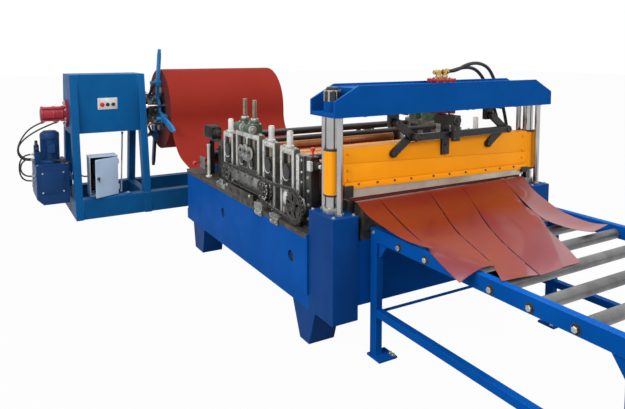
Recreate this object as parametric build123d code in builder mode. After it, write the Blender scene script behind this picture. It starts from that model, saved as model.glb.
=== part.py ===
"""Cut-to-length line: decoiler, chain-driven leveller, post shear and run-out table.

Millimetres, +Z up. While the pieces are made, X = 0 is the front plane of the shear, Y = 0 the middle
of the strip and Z = 0 the floor. The strip runs along +X and the decoiler's stand is on the -Y side.
At the end everything moves so that the origin is the middle of the footprint.
"""
from build123d import *
import os
from math import acos, atan2, cos, degrees, hypot, pi, sin, sqrt

os.makedirs("parts", exist_ok=True)

# Strip and the clearances that the whole line shares
strip_width = 1320
strip_thickness = 2
pass_height = 840
running_gap = 0.3
cut_margin = 5

# Base of the leveller
base_length = 2400
base_half_width = 850
base_bottom = 205
deck_height = 640
deck_thickness = 20
channel_top = 290
channel_depth = 90
channel_plate = 12
side_wall = 10
side_panel_proud = 12
side_panel_setback = 55
cross_member_width = 60
lifting_hole_diameter = 70
lifting_hole_height = 460
lifting_hole_places = (-1524, -447)
leg_width = 170
leg_plate = 12
front_panel_bottom = 282
front_panel_thickness = 12

# Front columns
column_depth = 253
column_width = 165
column_top = 785
column_plate = 14

# Shear frame
post_inset = 75
post_x = -127
post_diameter = 66
post_fit = 0.3
tie_rod_diameter = 34
tie_rod_offset = 77
beam_overhang = 65
beam_bottom = 1315
beam_top = 1481
beam_plate = 14
beam_end_height = 86
beam_end_chamfer = 150
beam_sleeve_diameter = 92
beam_sleeve_height = 80
foot_nut_radius = 50
foot_nut_height = 30
head_nut_radius = 40
head_nut_height = 60
sleeve_diameter = 92
sleeve_bottom = 882
sleeve_top = 1135
sleeve_clearance = 0.5
blade_beam_front = -100
blade_beam_thickness = 50
blade_beam_bottom = 914
blade_beam_rake = 30
blade_beam_rib = 10
rib_bottom = 1010
rib_top = 1120
blade_thickness = 15
blade_gap = 6
blade_stroke = 35
blade_half_length = 690
upper_blade_bottom = 862
upper_blade_rake = 10
lower_blade_height = 40
blade_bed_depth = 125
apron_flat = 25
cylinder_diameter = 120
cylinder_flange_diameter = 135
rod_diameter = 50
rod_fit = 0.1
rod_shoulder = 1285
clevis_bottom = 1229
clevis_half_width = 32
fitting_radius = 16
fitting_spacing = 24
hose_diameter = 22

# Knuckle linkage
link_length = 150
link_half_height = 90
link_width = 46
link_thickness = 18
link_clearance = 6
knuckle_pin_diameter = 22
pin_fit = 0.1
open_pivot_clearance = 1
link_pivot_height = 1262
link_pivot_places = (-390, 360)
bar_height = 40
bar_thickness = 22

# Leveller
stand_inner = 760
stand_thickness = 40
stand_half_width = 90
stand_rail_width = 36
stand_head = 40
journal_diameter = 50
journal_clearance = 0.05
journal_overhang = 8
pinch_diameter = 150
levelling_diameter = 90
roll_half_length = 700
pinch_places = (-1550, -859, -603)
stand_tops = (1060, 1082, 1078)
upper_levelling_places = (-1283, -1121)
lower_levelling_place = -1202
cassette = (-1400, -1004)
cassette_top = 1100
block_overhang = 6
block_clearance = 0.3
screw_radius = 15
screw_cap_radius = 18
screw_cap_height = 100
jack_box_width = 80
jack_box_height = 65
jack_screw_top = 1330
front_plate = (-488, -395)
front_plate_top = 1057
inner_plate = (-469, -365)
inner_plate_y = (690, 712)
inner_plate_top = 1015
drive_place = -432
drive_height = 757
chain_pitch = 25.4
chain_teeth = 16
drive_teeth = 24
chain_plate = 3
chain_half_height = 9
chain_pin_radius = 4
chain_end_clearance = 46
sprocket_thickness = 8
chain_side_gap = 0.3
rear_chain_y = -822
front_chain_y = -846
entry_start = -2100
entry_end = -1780
entry_top = 960
entry_bar = 30
entry_leg = 40

# Run-out table
table_length = 1500
table_half_width = 608
table_start = 4
rail_height = 70
rail_top = 713
rail_thickness = 40
table_leg = 55
far_leg_place = 213
foot_height = 12
table_roller_diameter = 55
table_roller_first = 247
table_roller_pitch = 202
table_roller_count = 6
table_roller_height = 668
roller_pin_diameter = 20
roller_pin_proud = 12
roller_side_gap = 6
stretcher_height = 250
stretcher_size = 40
cross_rod_diameter = 16

# Decoiler
coil_x = -3920
coil_height = 1030
coil_radius = 437
coil_bore_radius = 250
mandrel_shaft_diameter = 110
segment_slot_width = 60
segment_slot_depth = 60
arm_tip_radius = 680
arm_width = 60
arm_thickness = 30
arm_offset = 50
arm_point = 70
arm_first_angle = 75
expansion_hub_radius = 150
expansion_hub_length = 40
lug_half_length = 24
stand_y_near = -1614
stand_y_far = -874
stand_top = 1430
stand_box_bottom = 836
stand_top_depth = 450
stand_base_depth = 850
stand_leg_depth = 70
base_beam_height = 205
base_beam_width = 130
base_beam_end = 640
rotary_radius = 75
rotary_length = 225
rotary_flange_radius = 140
rotary_flange_thickness = 25
tank_length = 450
tank_width = 300
tank_bottom = 150
tank_top = 545
tank_middle_x = -3925
tank_gap = 26
tank_cut = 60
motor_radius = 78
motor_height = 290
motor_x = -3850
valve_top = 720
cabinet_x = (-3780, -3600)
cabinet_y = (-1460, -1190)
cabinet_top = 600
cabinet_plate = 3
door_open = 25
door_thickness = 6
knuckle_radius = 8
hinge_pin_radius = 4
knuckle_length = 20
hinge_heights = (260, 520)
cable_diameter = 14
port_radius = 11
port_length = 15

half_strip = strip_width / 2
base_x = -base_length
post_y = base_half_width - post_inset
beam_half_length = post_y + beam_overhang
lower_z = pass_height - running_gap
upper_z = pass_height + strip_thickness + running_gap
strip_middle = pass_height + strip_thickness / 2


def brick(x, y, z, mode=Mode.ADD):
    """A block between two limits along each axis."""
    with Locations(((x[0] + x[1]) / 2, (y[0] + y[1]) / 2, (z[0] + z[1]) / 2)):
        Box(abs(x[1] - x[0]), abs(y[1] - y[0]), abs(z[1] - z[0]), mode=mode)


def shaft(x, z, radius, y, mode=Mode.ADD):
    """A cylinder across the line, between two limits along Y."""
    with Locations(Location((x, (y[0] + y[1]) / 2, z), (90, 0, 0))):
        Cylinder(radius, abs(y[1] - y[0]), mode=mode)


def upright(x, y, radius, z, mode=Mode.ADD):
    """A vertical cylinder between two heights."""
    with Locations((x, y, (z[0] + z[1]) / 2)):
        Cylinder(radius, z[1] - z[0], mode=mode)


def rod(y, z, radius, x, mode=Mode.ADD):
    """A cylinder along the line, between two limits along X."""
    with Locations(Location(((x[0] + x[1]) / 2, y, z), (0, 90, 0))):
        Cylinder(radius, abs(x[1] - x[0]), mode=mode)


def tube(name, points, diameter):
    """A hose or cable: straight runs joined by arcs as large as each pair of runs allows."""
    corners = [Vector(*point) for point in points]
    radii = []
    for before, corner, after in zip(corners, corners[1:], corners[2:]):
        turn = (corner - before).get_angle(after - corner) * pi / 180
        shorter = min((corner - before).length, (after - corner).length)
        radii.append(0.45 * shorter * cos(turn / 2) / sin(turn / 2))
    with BuildPart() as cord:
        with BuildLine():
            route = FilletPolyline(*points, radius=radii)
        with BuildSketch(Plane(route @ 0, z_dir=route % 0)):
            Circle(diameter / 2)
        sweep(path=route)
    section = pi * diameter ** 2 / 4
    print(name, "length", round(route.length), "radii", [round(r) for r in radii],
          "volume ratio", round(cord.part.volume / (section * route.length), 4))
    return cord


pieces = {}

# Base: a channel ring with cross members, the deck, the near and far panels and the front panel
with BuildPart() as base_frame:
    inner = base_half_width - channel_depth
    web = base_half_width - side_wall
    panel_top = deck_height - deck_thickness
    for side in (-1, 1):
        brick((base_x, -column_depth), (side * inner, side * base_half_width), (base_bottom, channel_top))
        brick((base_x, -column_depth), (side * inner, side * web),
              (base_bottom + channel_plate, channel_top - channel_plate), Mode.SUBTRACT)
        panel_face = base_half_width + side_panel_proud
        brick((base_x + side_panel_setback, -column_depth), (side * web, side * panel_face),
              (channel_top, deck_height))
        for x in lifting_hole_places:
            shaft(x, lifting_hole_height, lifting_hole_diameter / 2,
                  (side * (web - cut_margin), side * (panel_face + cut_margin)), Mode.SUBTRACT)
    for x in (base_x, -1900, -1350, -800, -column_depth - cross_member_width):
        brick((x, x + cross_member_width), (-inner, inner), (base_bottom, channel_top))
    brick((base_x + side_panel_setback, base_x + side_panel_setback + side_wall), (-web, web),
          (channel_top, panel_top))
    brick((base_x, -column_depth), (-base_half_width, base_half_width), (panel_top, deck_height))
    reach = base_half_width - column_width
    brick((-column_depth, -front_panel_thickness), (-reach, reach), (panel_top, deck_height))
    brick((-2 * front_panel_thickness, -front_panel_thickness), (-reach, reach),
          (front_panel_bottom, deck_height))
pieces["base_frame"] = base_frame

with BuildPart() as base_legs:
    for top, foot in (((-445, -183), (-356, -250)), ((-2243, -1973), (-2200, -2016))):
        for side in (-1, 1):
            outer = side * base_half_width
            with BuildSketch(Plane.XZ.offset(-outer)):
                with BuildLine():
                    Polyline((top[0], base_bottom), (top[1], base_bottom), (foot[1], 0), (foot[0], 0),
                             close=True)
                make_face()
            extrude(amount=side * leg_width)
            with BuildSketch(Plane.XZ.offset(-outer + side * leg_plate)):
                with BuildLine():
                    Polyline((top[0] + leg_plate, base_bottom), (top[1] - leg_plate, base_bottom),
                             (foot[1] - leg_plate, leg_plate), (foot[0] + leg_plate, leg_plate), close=True)
                make_face()
            extrude(amount=side * leg_width, mode=Mode.SUBTRACT)
pieces["base_legs"] = base_legs

with BuildPart() as front_columns:
    for side in (-1, 1):
        outer = side * base_half_width
        inner = side * (base_half_width - column_width)
        brick((-column_depth, 0), (inner, outer), (base_bottom, column_top))
        brick((-column_depth + column_plate, -column_plate),
              (inner + side * column_plate, outer - side * column_plate),
              (base_bottom - cut_margin, column_top - column_plate), Mode.SUBTRACT)
pieces["front_columns"] = front_columns

# Shear frame
with BuildPart() as top_beam:
    for x in (-beam_plate, -column_depth):
        with BuildSketch(Plane.YZ.offset(x)):
            with BuildLine():
                Polyline((-beam_half_length, beam_bottom),
                         (-beam_half_length, beam_bottom + beam_end_height),
                         (-beam_half_length + beam_end_chamfer, beam_top),
                         (beam_half_length - beam_end_chamfer, beam_top),
                         (beam_half_length, beam_bottom + beam_end_height),
                         (beam_half_length, beam_bottom), close=True)
            make_face()
        extrude(amount=beam_plate)
    between = (-column_depth + beam_plate, -beam_plate)
    brick(between, (-beam_half_length, beam_half_length), (beam_bottom, beam_bottom + 20))
    closed = beam_half_length - beam_end_chamfer
    brick(between, (-closed, closed), (beam_top - 2 * beam_plate, beam_top - beam_plate))
    for side in (-1, 1):
        upright(post_x, side * post_y, beam_sleeve_diameter / 2,
                (beam_bottom, beam_bottom + beam_sleeve_height))
        brick(between, (side * closed, side * (closed + beam_plate)), (beam_bottom, beam_top - beam_plate))
        upright(post_x, side * post_y, post_diameter / 2 + post_fit,
                (beam_bottom - cut_margin, beam_bottom + beam_sleeve_height + cut_margin), Mode.SUBTRACT)
    upright(post_x, 0, cylinder_diameter / 2 + 1, (beam_bottom - cut_margin, beam_top + cut_margin),
            Mode.SUBTRACT)
pieces["top_beam"] = top_beam

with BuildPart() as guide_posts:
    head = beam_bottom + beam_sleeve_height + head_nut_height
    for side in (-1, 1):
        upright(post_x, side * post_y, post_diameter / 2, (column_top, head - 20))
        for x in (post_x - tie_rod_offset, post_x + tie_rod_offset):
            upright(x, side * post_y, tie_rod_diameter / 2, (column_top, beam_bottom))
pieces["guide_posts"] = guide_posts

with BuildPart() as post_nuts:
    for side in (-1, 1):
        for z, radius, height in ((column_top, foot_nut_radius, foot_nut_height),
                                  (head - head_nut_height, head_nut_radius + 6, head_nut_height)):
            with BuildSketch(Plane.XY.offset(z)):
                with Locations((post_x, side * post_y)):
                    RegularPolygon(radius, 6)
                    Circle(post_diameter / 2 + pin_fit, mode=Mode.SUBTRACT)
            extrude(amount=height)
        for x in (post_x - tie_rod_offset, post_x + tie_rod_offset):
            with BuildSketch(Plane.XY.offset(column_top)):
                with Locations((x, side * post_y)):
                    RegularPolygon(tie_rod_diameter * 0.7, 6)
                    Circle(tie_rod_diameter / 2 + pin_fit, mode=Mode.SUBTRACT)
            extrude(amount=foot_nut_height / 2)
pieces["post_nuts"] = post_nuts

# Blade beam with its sleeves, sliding on the guide posts
with BuildPart() as blade_beam:
    with BuildSketch(Plane.YZ.offset(blade_beam_front - blade_beam_thickness)):
        with BuildLine():
            Polyline((-post_y, blade_beam_bottom), (-post_y, sleeve_top), (post_y, sleeve_top),
                     (post_y, blade_beam_bottom - blade_beam_rake), close=True)
        make_face()
    extrude(amount=blade_beam_thickness)
    clear_y = post_y - sleeve_diameter / 2
    for z in (rib_bottom, rib_top):
        brick((blade_beam_front - blade_beam_thickness - 90, blade_beam_front - blade_beam_thickness),
              (-clear_y, clear_y), (z, z + blade_beam_rib))
    for side in (-1, 1):
        upright(post_x, side * post_y, sleeve_diameter / 2, (sleeve_bottom, sleeve_top))
        upright(post_x, side * post_y, post_diameter / 2 + sleeve_clearance,
                (sleeve_bottom - cut_margin, sleeve_top + cut_margin), Mode.SUBTRACT)
pieces["blade_beam"] = blade_beam

with BuildPart() as upper_blade:
    with BuildSketch(Plane.YZ.offset(blade_beam_front)):
        with BuildLine():
            Polyline((-blade_half_length, upper_blade_bottom), (-blade_half_length, blade_beam_bottom + 26),
                     (blade_half_length, blade_beam_bottom - 4),
                     (blade_half_length, upper_blade_bottom - upper_blade_rake), close=True)
        make_face()
    extrude(amount=blade_thickness)
pieces["upper_blade"] = upper_blade

# Lower blade, its bed and the apron in front, all between the columns
lower_front = blade_beam_front - blade_gap
bed_half_length = min(blade_half_length, base_half_width - column_width)
apron_x = blade_beam_front + blade_thickness + blade_gap
with BuildPart() as lower_blade:
    blade_foot = pass_height - lower_blade_height
    brick((lower_front - 60, lower_front), (-bed_half_length, bed_half_length), (blade_foot, pass_height))
    brick((lower_front - blade_bed_depth, lower_front), (-bed_half_length, bed_half_length),
          (deck_height, blade_foot))
    with BuildSketch(Plane.XZ.offset(half_strip)):
        with BuildLine():
            Polyline((lower_front - cut_margin, deck_height), (lower_front - cut_margin, blade_foot - 120),
                     (apron_x, blade_foot - 120), (apron_x, lower_z), (apron_x + apron_flat, lower_z),
                     (0, blade_foot), (0, blade_foot - 100), (-18, blade_foot - 100), (-18, deck_height),
                     close=True)
        make_face()
    extrude(amount=-strip_width)
pieces["lower_blade"] = lower_blade

# Cylinder that drives the blade beam, with its fittings and hoses
with BuildPart() as shear_cylinder:
    upright(post_x, 0, cylinder_diameter / 2, (beam_bottom - 20, beam_top + 18))
    upright(post_x, 0, cylinder_flange_diameter / 2, (beam_bottom - 20, beam_bottom - running_gap))
    upright(post_x, 0, cylinder_flange_diameter / 2, (beam_top, beam_top + 18))
    upright(post_x, 0, rod_diameter / 2 + rod_fit, (beam_bottom - 30, beam_top - 40), Mode.SUBTRACT)
pieces["shear_cylinder"] = shear_cylinder

link_offset = sqrt(link_length ** 2 - link_half_height ** 2)
lower_link_x = blade_beam_front + 5
upper_link_x = lower_link_x + link_thickness + link_clearance
bar_x = upper_link_x + link_thickness + link_clearance
knee_height = link_pivot_height - link_half_height
lower_pivot_height = knee_height - link_half_height
with BuildPart() as cylinder_rod:
    upright(post_x, 0, rod_diameter / 2, (1280, beam_top - 45))
    brick((-150, 8), (-clevis_half_width, clevis_half_width), (clevis_bottom, rod_shoulder))
    brick((blade_beam_front, blade_beam_front + 20), (-28, 28), (1045, clevis_bottom))
    brick((-10, 8), (-28, 28), (1135, clevis_bottom))
    for y in link_pivot_places:
        rod(y, lower_pivot_height, knuckle_pin_diameter / 2, (blade_beam_front, upper_link_x - 2))
pieces["cylinder_rod"] = cylinder_rod

fitting_top = beam_top + 60
with BuildPart() as cylinder_fittings:
    for y in (-fitting_spacing, fitting_spacing):
        upright(post_x, y, fitting_radius, (beam_top + 18, fitting_top))
    shaft(post_x, fitting_top, fitting_radius - 3, (fitting_spacing - 15, fitting_spacing + 21))
    rod(-fitting_spacing, fitting_top - 6, fitting_radius - 5, (post_x - 27, post_x))
    shaft(post_x - 27, fitting_top - 6, fitting_radius - 3, (-fitting_spacing - 13, -fitting_spacing + 34))
    for x, y in ((-330, 770), (-360, 735)):
        upright(x, y, fitting_radius, (deck_height, deck_height + 30))
pieces["cylinder_fittings"] = cylinder_fittings

pieces["shear_hose_1"] = tube("shear_hose_1", (
    (post_x, fitting_spacing + 21, fitting_top), (post_x, 112, fitting_top), (-145, 225, 1582),
    (-180, 360, 1590), (-228, 500, 1556), (-285, 612, 1482), (-302, 688, 1380), (-294, 736, 1240),
    (-292, 768, 1100), (-298, 776, 960), (-312, 776, 830), (-330, 770, 735), (-330, 770, deck_height + 30)),
    hose_diameter)
pieces["shear_hose_2"] = tube("shear_hose_2", (
    (post_x - 27, -fitting_spacing + 34, fitting_top - 6), (post_x - 27, 80, fitting_top - 6),
    (-174, 200, 1560), (-210, 330, 1560), (-262, 455, 1522), (-300, 560, 1440), (-320, 634, 1335),
    (-322, 690, 1215), (-320, 722, 1090), (-324, 737, 960), (-338, 740, 830), (-360, 735, 735),
    (-360, 735, deck_height + 30)), hose_diameter)


def link(start, end, start_hole, end_hole, x):
    """A flat link between two pivots in the plane across the line."""
    angle = degrees(atan2(end[1] - start[1], end[0] - start[0]))
    middle = ((start[0] + end[0]) / 2, (start[1] + end[1]) / 2)
    with BuildSketch(Plane.YZ.offset(x)) as outline:
        with Locations(Location((middle[0], middle[1], 0), (0, 0, angle))):
            SlotCenterToCenter(link_length, link_width)
        with Locations(start):
            Circle(start_hole, mode=Mode.SUBTRACT)
        with Locations(end):
            Circle(end_hole, mode=Mode.SUBTRACT)
    extrude(outline.sketch, amount=link_thickness)


pin_radius = knuckle_pin_diameter / 2
for name, y in zip(("near", "far"), link_pivot_places):
    with BuildPart() as upper_link:
        link((y, link_pivot_height), (y + link_offset, knee_height), pin_radius + pin_fit,
             pin_radius + pin_fit, upper_link_x)
    pieces["upper_link_" + name] = upper_link
    with BuildPart() as lower_link:
        link((y, lower_pivot_height), (y + link_offset, knee_height), pin_radius + pin_fit,
             pin_radius + open_pivot_clearance, lower_link_x)
    pieces["lower_link_" + name] = lower_link

with BuildPart() as link_bar:
    knees = [y + link_offset for y in link_pivot_places]
    bar_end = bar_x + bar_thickness
    bar_z = (knee_height - bar_height / 2, knee_height + bar_height / 2)
    brick((bar_x, bar_end), (knees[0], knees[1]), bar_z)
    for y in knees:
        rod(y, knee_height, link_width / 2, (bar_x, bar_end))
        rod(y, knee_height, pin_radius, (lower_link_x, bar_end))
pieces["link_bar"] = link_bar

with BuildPart() as link_brackets:
    for y in link_pivot_places:
        brick((lower_link_x - 12, upper_link_x - link_clearance), (y - 32, y + 32),
              (link_pivot_height - 26, beam_bottom))
        rod(y, link_pivot_height, pin_radius, (lower_link_x, bar_x))
pieces["link_brackets"] = link_brackets

# Leveller: rear pinch stand, levelling cassette, two feed stands and the drive plates
pinch_radius = pinch_diameter / 2
levelling_radius = levelling_diameter / 2
journal_radius = journal_diameter / 2
bore_radius = journal_radius + journal_clearance
window = stand_half_width - stand_rail_width
window_bottom = pass_height + 10
with BuildPart() as roll_stands:
    for side in (-1, 1):
        plate_y = (side * stand_inner, side * (stand_inner + stand_thickness))
        cut_y = (side * (stand_inner - cut_margin), side * (stand_inner + stand_thickness + cut_margin))
        for x, top in zip(pinch_places, stand_tops):
            brick((x - stand_half_width, x + stand_half_width), plate_y, (deck_height, top))
            brick((x - window, x + window), cut_y, (window_bottom, top - stand_head), Mode.SUBTRACT)
            shaft(x, lower_z - pinch_radius, bore_radius, cut_y, Mode.SUBTRACT)
        brick(cassette, plate_y, (deck_height, cassette_top))
        for x in upper_levelling_places:
            brick((x - 50, x + 50), cut_y, (window_bottom, cassette_top - stand_head), Mode.SUBTRACT)
        shaft(lower_levelling_place, lower_z - levelling_radius, bore_radius, cut_y, Mode.SUBTRACT)
        brick(front_plate, plate_y, (deck_height, front_plate_top))
        brick(inner_plate, (side * inner_plate_y[0], side * inner_plate_y[1]),
              (deck_height, inner_plate_top))
    shaft(drive_place, drive_height, bore_radius,
          (-stand_inner - stand_thickness - cut_margin, -inner_plate_y[0] + cut_margin), Mode.SUBTRACT)
pieces["roll_stands"] = roll_stands

with BuildPart() as bearing_blocks:
    for side in (-1, 1):
        block_y = (side * (stand_inner - block_overhang),
                   side * (stand_inner + stand_thickness + block_overhang))
        cut_y = (side * (stand_inner - 10), side * (stand_inner + stand_thickness + 10))
        for x in pinch_places:
            z = upper_z + pinch_radius
            brick((x - window + block_clearance, x + window - block_clearance), block_y, (z - 52, z + 62))
            shaft(x, z, bore_radius, cut_y, Mode.SUBTRACT)
        for x in upper_levelling_places:
            z = upper_z + levelling_radius
            brick((x - 50 + block_clearance, x + 50 - block_clearance), block_y, (z - 36, z + 70))
            shaft(x, z, bore_radius, cut_y, Mode.SUBTRACT)
pieces["bearing_blocks"] = bearing_blocks

with BuildPart() as adjusting_screws:
    for side in (-1, 1):
        y = side * (stand_inner + stand_thickness / 2)
        for x, top in zip(pinch_places, stand_tops):
            upright(x, y, screw_radius, (upper_z + pinch_radius + 62, top - stand_head))
            upright(x, y, screw_cap_radius, (top, top + screw_cap_height))
        for x in upper_levelling_places:
            upright(x, y, screw_radius, (cassette_top, jack_screw_top))
            upright(x, y, screw_radius, (upper_z + levelling_radius + 70, cassette_top - stand_head))
pieces["adjusting_screws"] = adjusting_screws

with BuildPart() as jack_boxes:
    half_box = jack_box_width / 2
    for side in (-1, 1):
        y = side * (stand_inner + stand_thickness / 2)
        worm_y = y + side * half_box
        for x in upper_levelling_places:
            brick((x - half_box, x + half_box), (y - half_box, y + half_box),
                  (cassette_top, cassette_top + jack_box_height))
            upright(x, y, 30, (cassette_top, cassette_top + jack_box_height + 22))
            rod(worm_y, cassette_top + 32, 26, (x - half_box - 12, x + half_box + 12))
            upright(x, y, screw_radius + block_clearance, (cassette_top - cut_margin, jack_screw_top),
                    Mode.SUBTRACT)
pieces["jack_boxes"] = jack_boxes

with BuildPart() as tie_bars:
    for x, z in ((-1610, 1030), (-1490, 1030), (-1380, 1060), (-1030, 1060), (-441, 1035)):
        shaft(x, z, 18, (-stand_inner, stand_inner))
pieces["tie_bars"] = tie_bars

with BuildPart() as entry_guide:
    guide_inner = 720
    for side in (-1, 1):
        y = (side * guide_inner, side * stand_inner)
        arch_middle = (entry_start + entry_end) / 2
        with BuildSketch(Plane.XZ.offset(-side * stand_inner)):
            with Locations((arch_middle, (deck_height + entry_top) / 2)):
                Rectangle(entry_end - entry_start, entry_top - deck_height)
            fillet(vertices().group_by(Axis.Y)[-1], radius=110)
            with Locations((arch_middle, (deck_height + entry_top) / 2 - entry_bar / 2)):
                Rectangle(entry_end - entry_start - 2 * entry_leg, entry_top - deck_height - entry_bar,
                          mode=Mode.SUBTRACT)
        extrude(amount=side * (stand_inner - guide_inner))
        upright(arch_middle, side * (guide_inner - 20), 30, (deck_height, entry_top - 60))
    shaft(entry_start + 20, lower_z - 30, 30, (-guide_inner, guide_inner))
    brick((-2080, -1900), (-800, -guide_inner), (entry_top, entry_top + 95))
    rod(-760, entry_top + 50, 28, (-2130, -2080))
pieces["entry_guide"] = entry_guide


def sprocket(x, z, teeth, y):
    """A toothed wheel with a roller seat at each pitch."""
    pitch_radius = chain_pitch / (2 * sin(pi / teeth))
    with BuildSketch(Plane.XZ.offset(-y - sprocket_thickness / 2)) as wheel:
        with Locations((x, z)):
            Circle(pitch_radius + 4)
        with Locations((x, z)):
            with PolarLocations(pitch_radius, teeth):
                Circle(chain_pitch * 0.32, mode=Mode.SUBTRACT)
    extrude(wheel.sketch, amount=sprocket_thickness)


def roll(x, z, radius, near_end):
    """A roll across the machine with stepped journals."""
    shaft(x, z, radius, (-roll_half_length, roll_half_length))
    shaft(x, z, journal_radius, (near_end, stand_inner + stand_thickness + journal_overhang))


sprocket_z = lower_z - pinch_radius
plain_end = -stand_inner - stand_thickness - journal_overhang
rear_end = rear_chain_y - journal_overhang
front_end = front_chain_y - journal_overhang
with BuildPart() as pinch_roll_lower:
    roll(pinch_places[0], sprocket_z, pinch_radius, rear_end)
    sprocket(pinch_places[0], sprocket_z, chain_teeth, rear_chain_y)
with BuildPart() as feed_roll_lower_1:
    roll(pinch_places[1], sprocket_z, pinch_radius, front_end)
    sprocket(pinch_places[1], sprocket_z, chain_teeth, rear_chain_y)
    sprocket(pinch_places[1], sprocket_z, chain_teeth, front_chain_y)
with BuildPart() as feed_roll_lower_2:
    roll(pinch_places[2], sprocket_z, pinch_radius, plain_end)
pieces["pinch_roll_lower"] = pinch_roll_lower
pieces["feed_roll_lower_1"] = feed_roll_lower_1
pieces["feed_roll_lower_2"] = feed_roll_lower_2
for name, x in zip(("pinch_roll_upper", "feed_roll_upper_1", "feed_roll_upper_2"), pinch_places):
    with BuildPart() as upper_roll:
        roll(x, upper_z + pinch_radius, pinch_radius, plain_end)
    pieces[name] = upper_roll
for name, x in zip(("levelling_roll_1", "levelling_roll_2"), upper_levelling_places):
    with BuildPart() as levelling_roll:
        roll(x, upper_z + levelling_radius, levelling_radius, plain_end)
    pieces[name] = levelling_roll
with BuildPart() as levelling_roll_3:
    roll(lower_levelling_place, lower_z - levelling_radius, levelling_radius, plain_end)
pieces["levelling_roll_3"] = levelling_roll_3

with BuildPart() as drive_sprocket:
    sprocket(drive_place, drive_height, drive_teeth, front_chain_y)
    shaft(drive_place, drive_height, journal_radius, (front_end, -inner_plate_y[0]))
pieces["drive_sprocket"] = drive_sprocket


def chain(rear, front, rear_teeth, front_teeth, y):
    """Two bands of link plates round two sprockets, with cross pins on the straight runs."""
    rear_radius = chain_pitch / (2 * sin(pi / rear_teeth))
    front_radius = chain_pitch / (2 * sin(pi / front_teeth))
    half_gap = sprocket_thickness / 2 + chain_side_gap
    for plate_y in (y - half_gap - chain_plate, y + half_gap):
        with BuildSketch(Plane.XZ.offset(-plate_y - chain_plate)) as inside:
            with Locations(rear):
                Circle(rear_radius - chain_half_height)
            with Locations(front):
                Circle(front_radius - chain_half_height)
            make_hull()
        with BuildSketch(Plane.XZ.offset(-plate_y - chain_plate)) as band:
            with Locations(rear):
                Circle(rear_radius + chain_half_height)
            with Locations(front):
                Circle(front_radius + chain_half_height)
            make_hull()
            add(inside.sketch, mode=Mode.SUBTRACT)
        extrude(band.sketch, amount=chain_plate)
    across = front[0] - rear[0]
    up = front[1] - rear[1]
    distance = hypot(across, up)
    lean = atan2(up, across)
    spread = acos((rear_radius - front_radius) / distance)
    for angle in (lean + spread, lean - spread):
        start = (rear[0] + rear_radius * cos(angle), rear[1] + rear_radius * sin(angle))
        end = (front[0] + front_radius * cos(angle), front[1] + front_radius * sin(angle))
        run = hypot(end[0] - start[0], end[1] - start[1])
        count = int((run - 2 * chain_end_clearance) / chain_pitch) + 1
        for i in range(count):
            along = (run - (count - 1) * chain_pitch) / 2 + i * chain_pitch
            x = start[0] + (end[0] - start[0]) * along / run
            z = start[1] + (end[1] - start[1]) * along / run
            shaft(x, z, chain_pin_radius, (y - half_gap - 1, y + half_gap + 1))


with BuildPart() as drive_chains:
    feed_shaft = (pinch_places[1], sprocket_z)
    chain((pinch_places[0], sprocket_z), feed_shaft, chain_teeth, chain_teeth, rear_chain_y)
    chain(feed_shaft, (drive_place, drive_height), chain_teeth, drive_teeth, front_chain_y)
pieces["drive_chains"] = drive_chains

# Strip through the machine with its free loop, and the slit strips on the table
strip_seam = entry_start + 20
with BuildPart() as strip:
    brick((strip_seam, lower_front), (-half_strip, half_strip), (pass_height, pass_height + strip_thickness))
    leave_x = coil_x + coil_radius + running_gap + strip_thickness / 2
    with BuildSketch(Plane.XZ.offset(-half_strip)) as loop_profile:
        with BuildLine():
            loop_curve = FilletPolyline((leave_x, coil_height), (leave_x, pass_height - 10),
                                        (-3230, pass_height - 240), (-2830, pass_height - 320),
                                        (-2430, pass_height - 200), (strip_seam - 100, strip_middle),
                                        (strip_seam - 1.5, strip_middle), radius=(320, 400, 500, 500, 200))
            offset(loop_curve, amount=strip_thickness / 2, side=Side.BOTH, mode=Mode.REPLACE)
        make_face()
    extrude(amount=strip_width)
pieces["strip"] = strip

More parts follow.
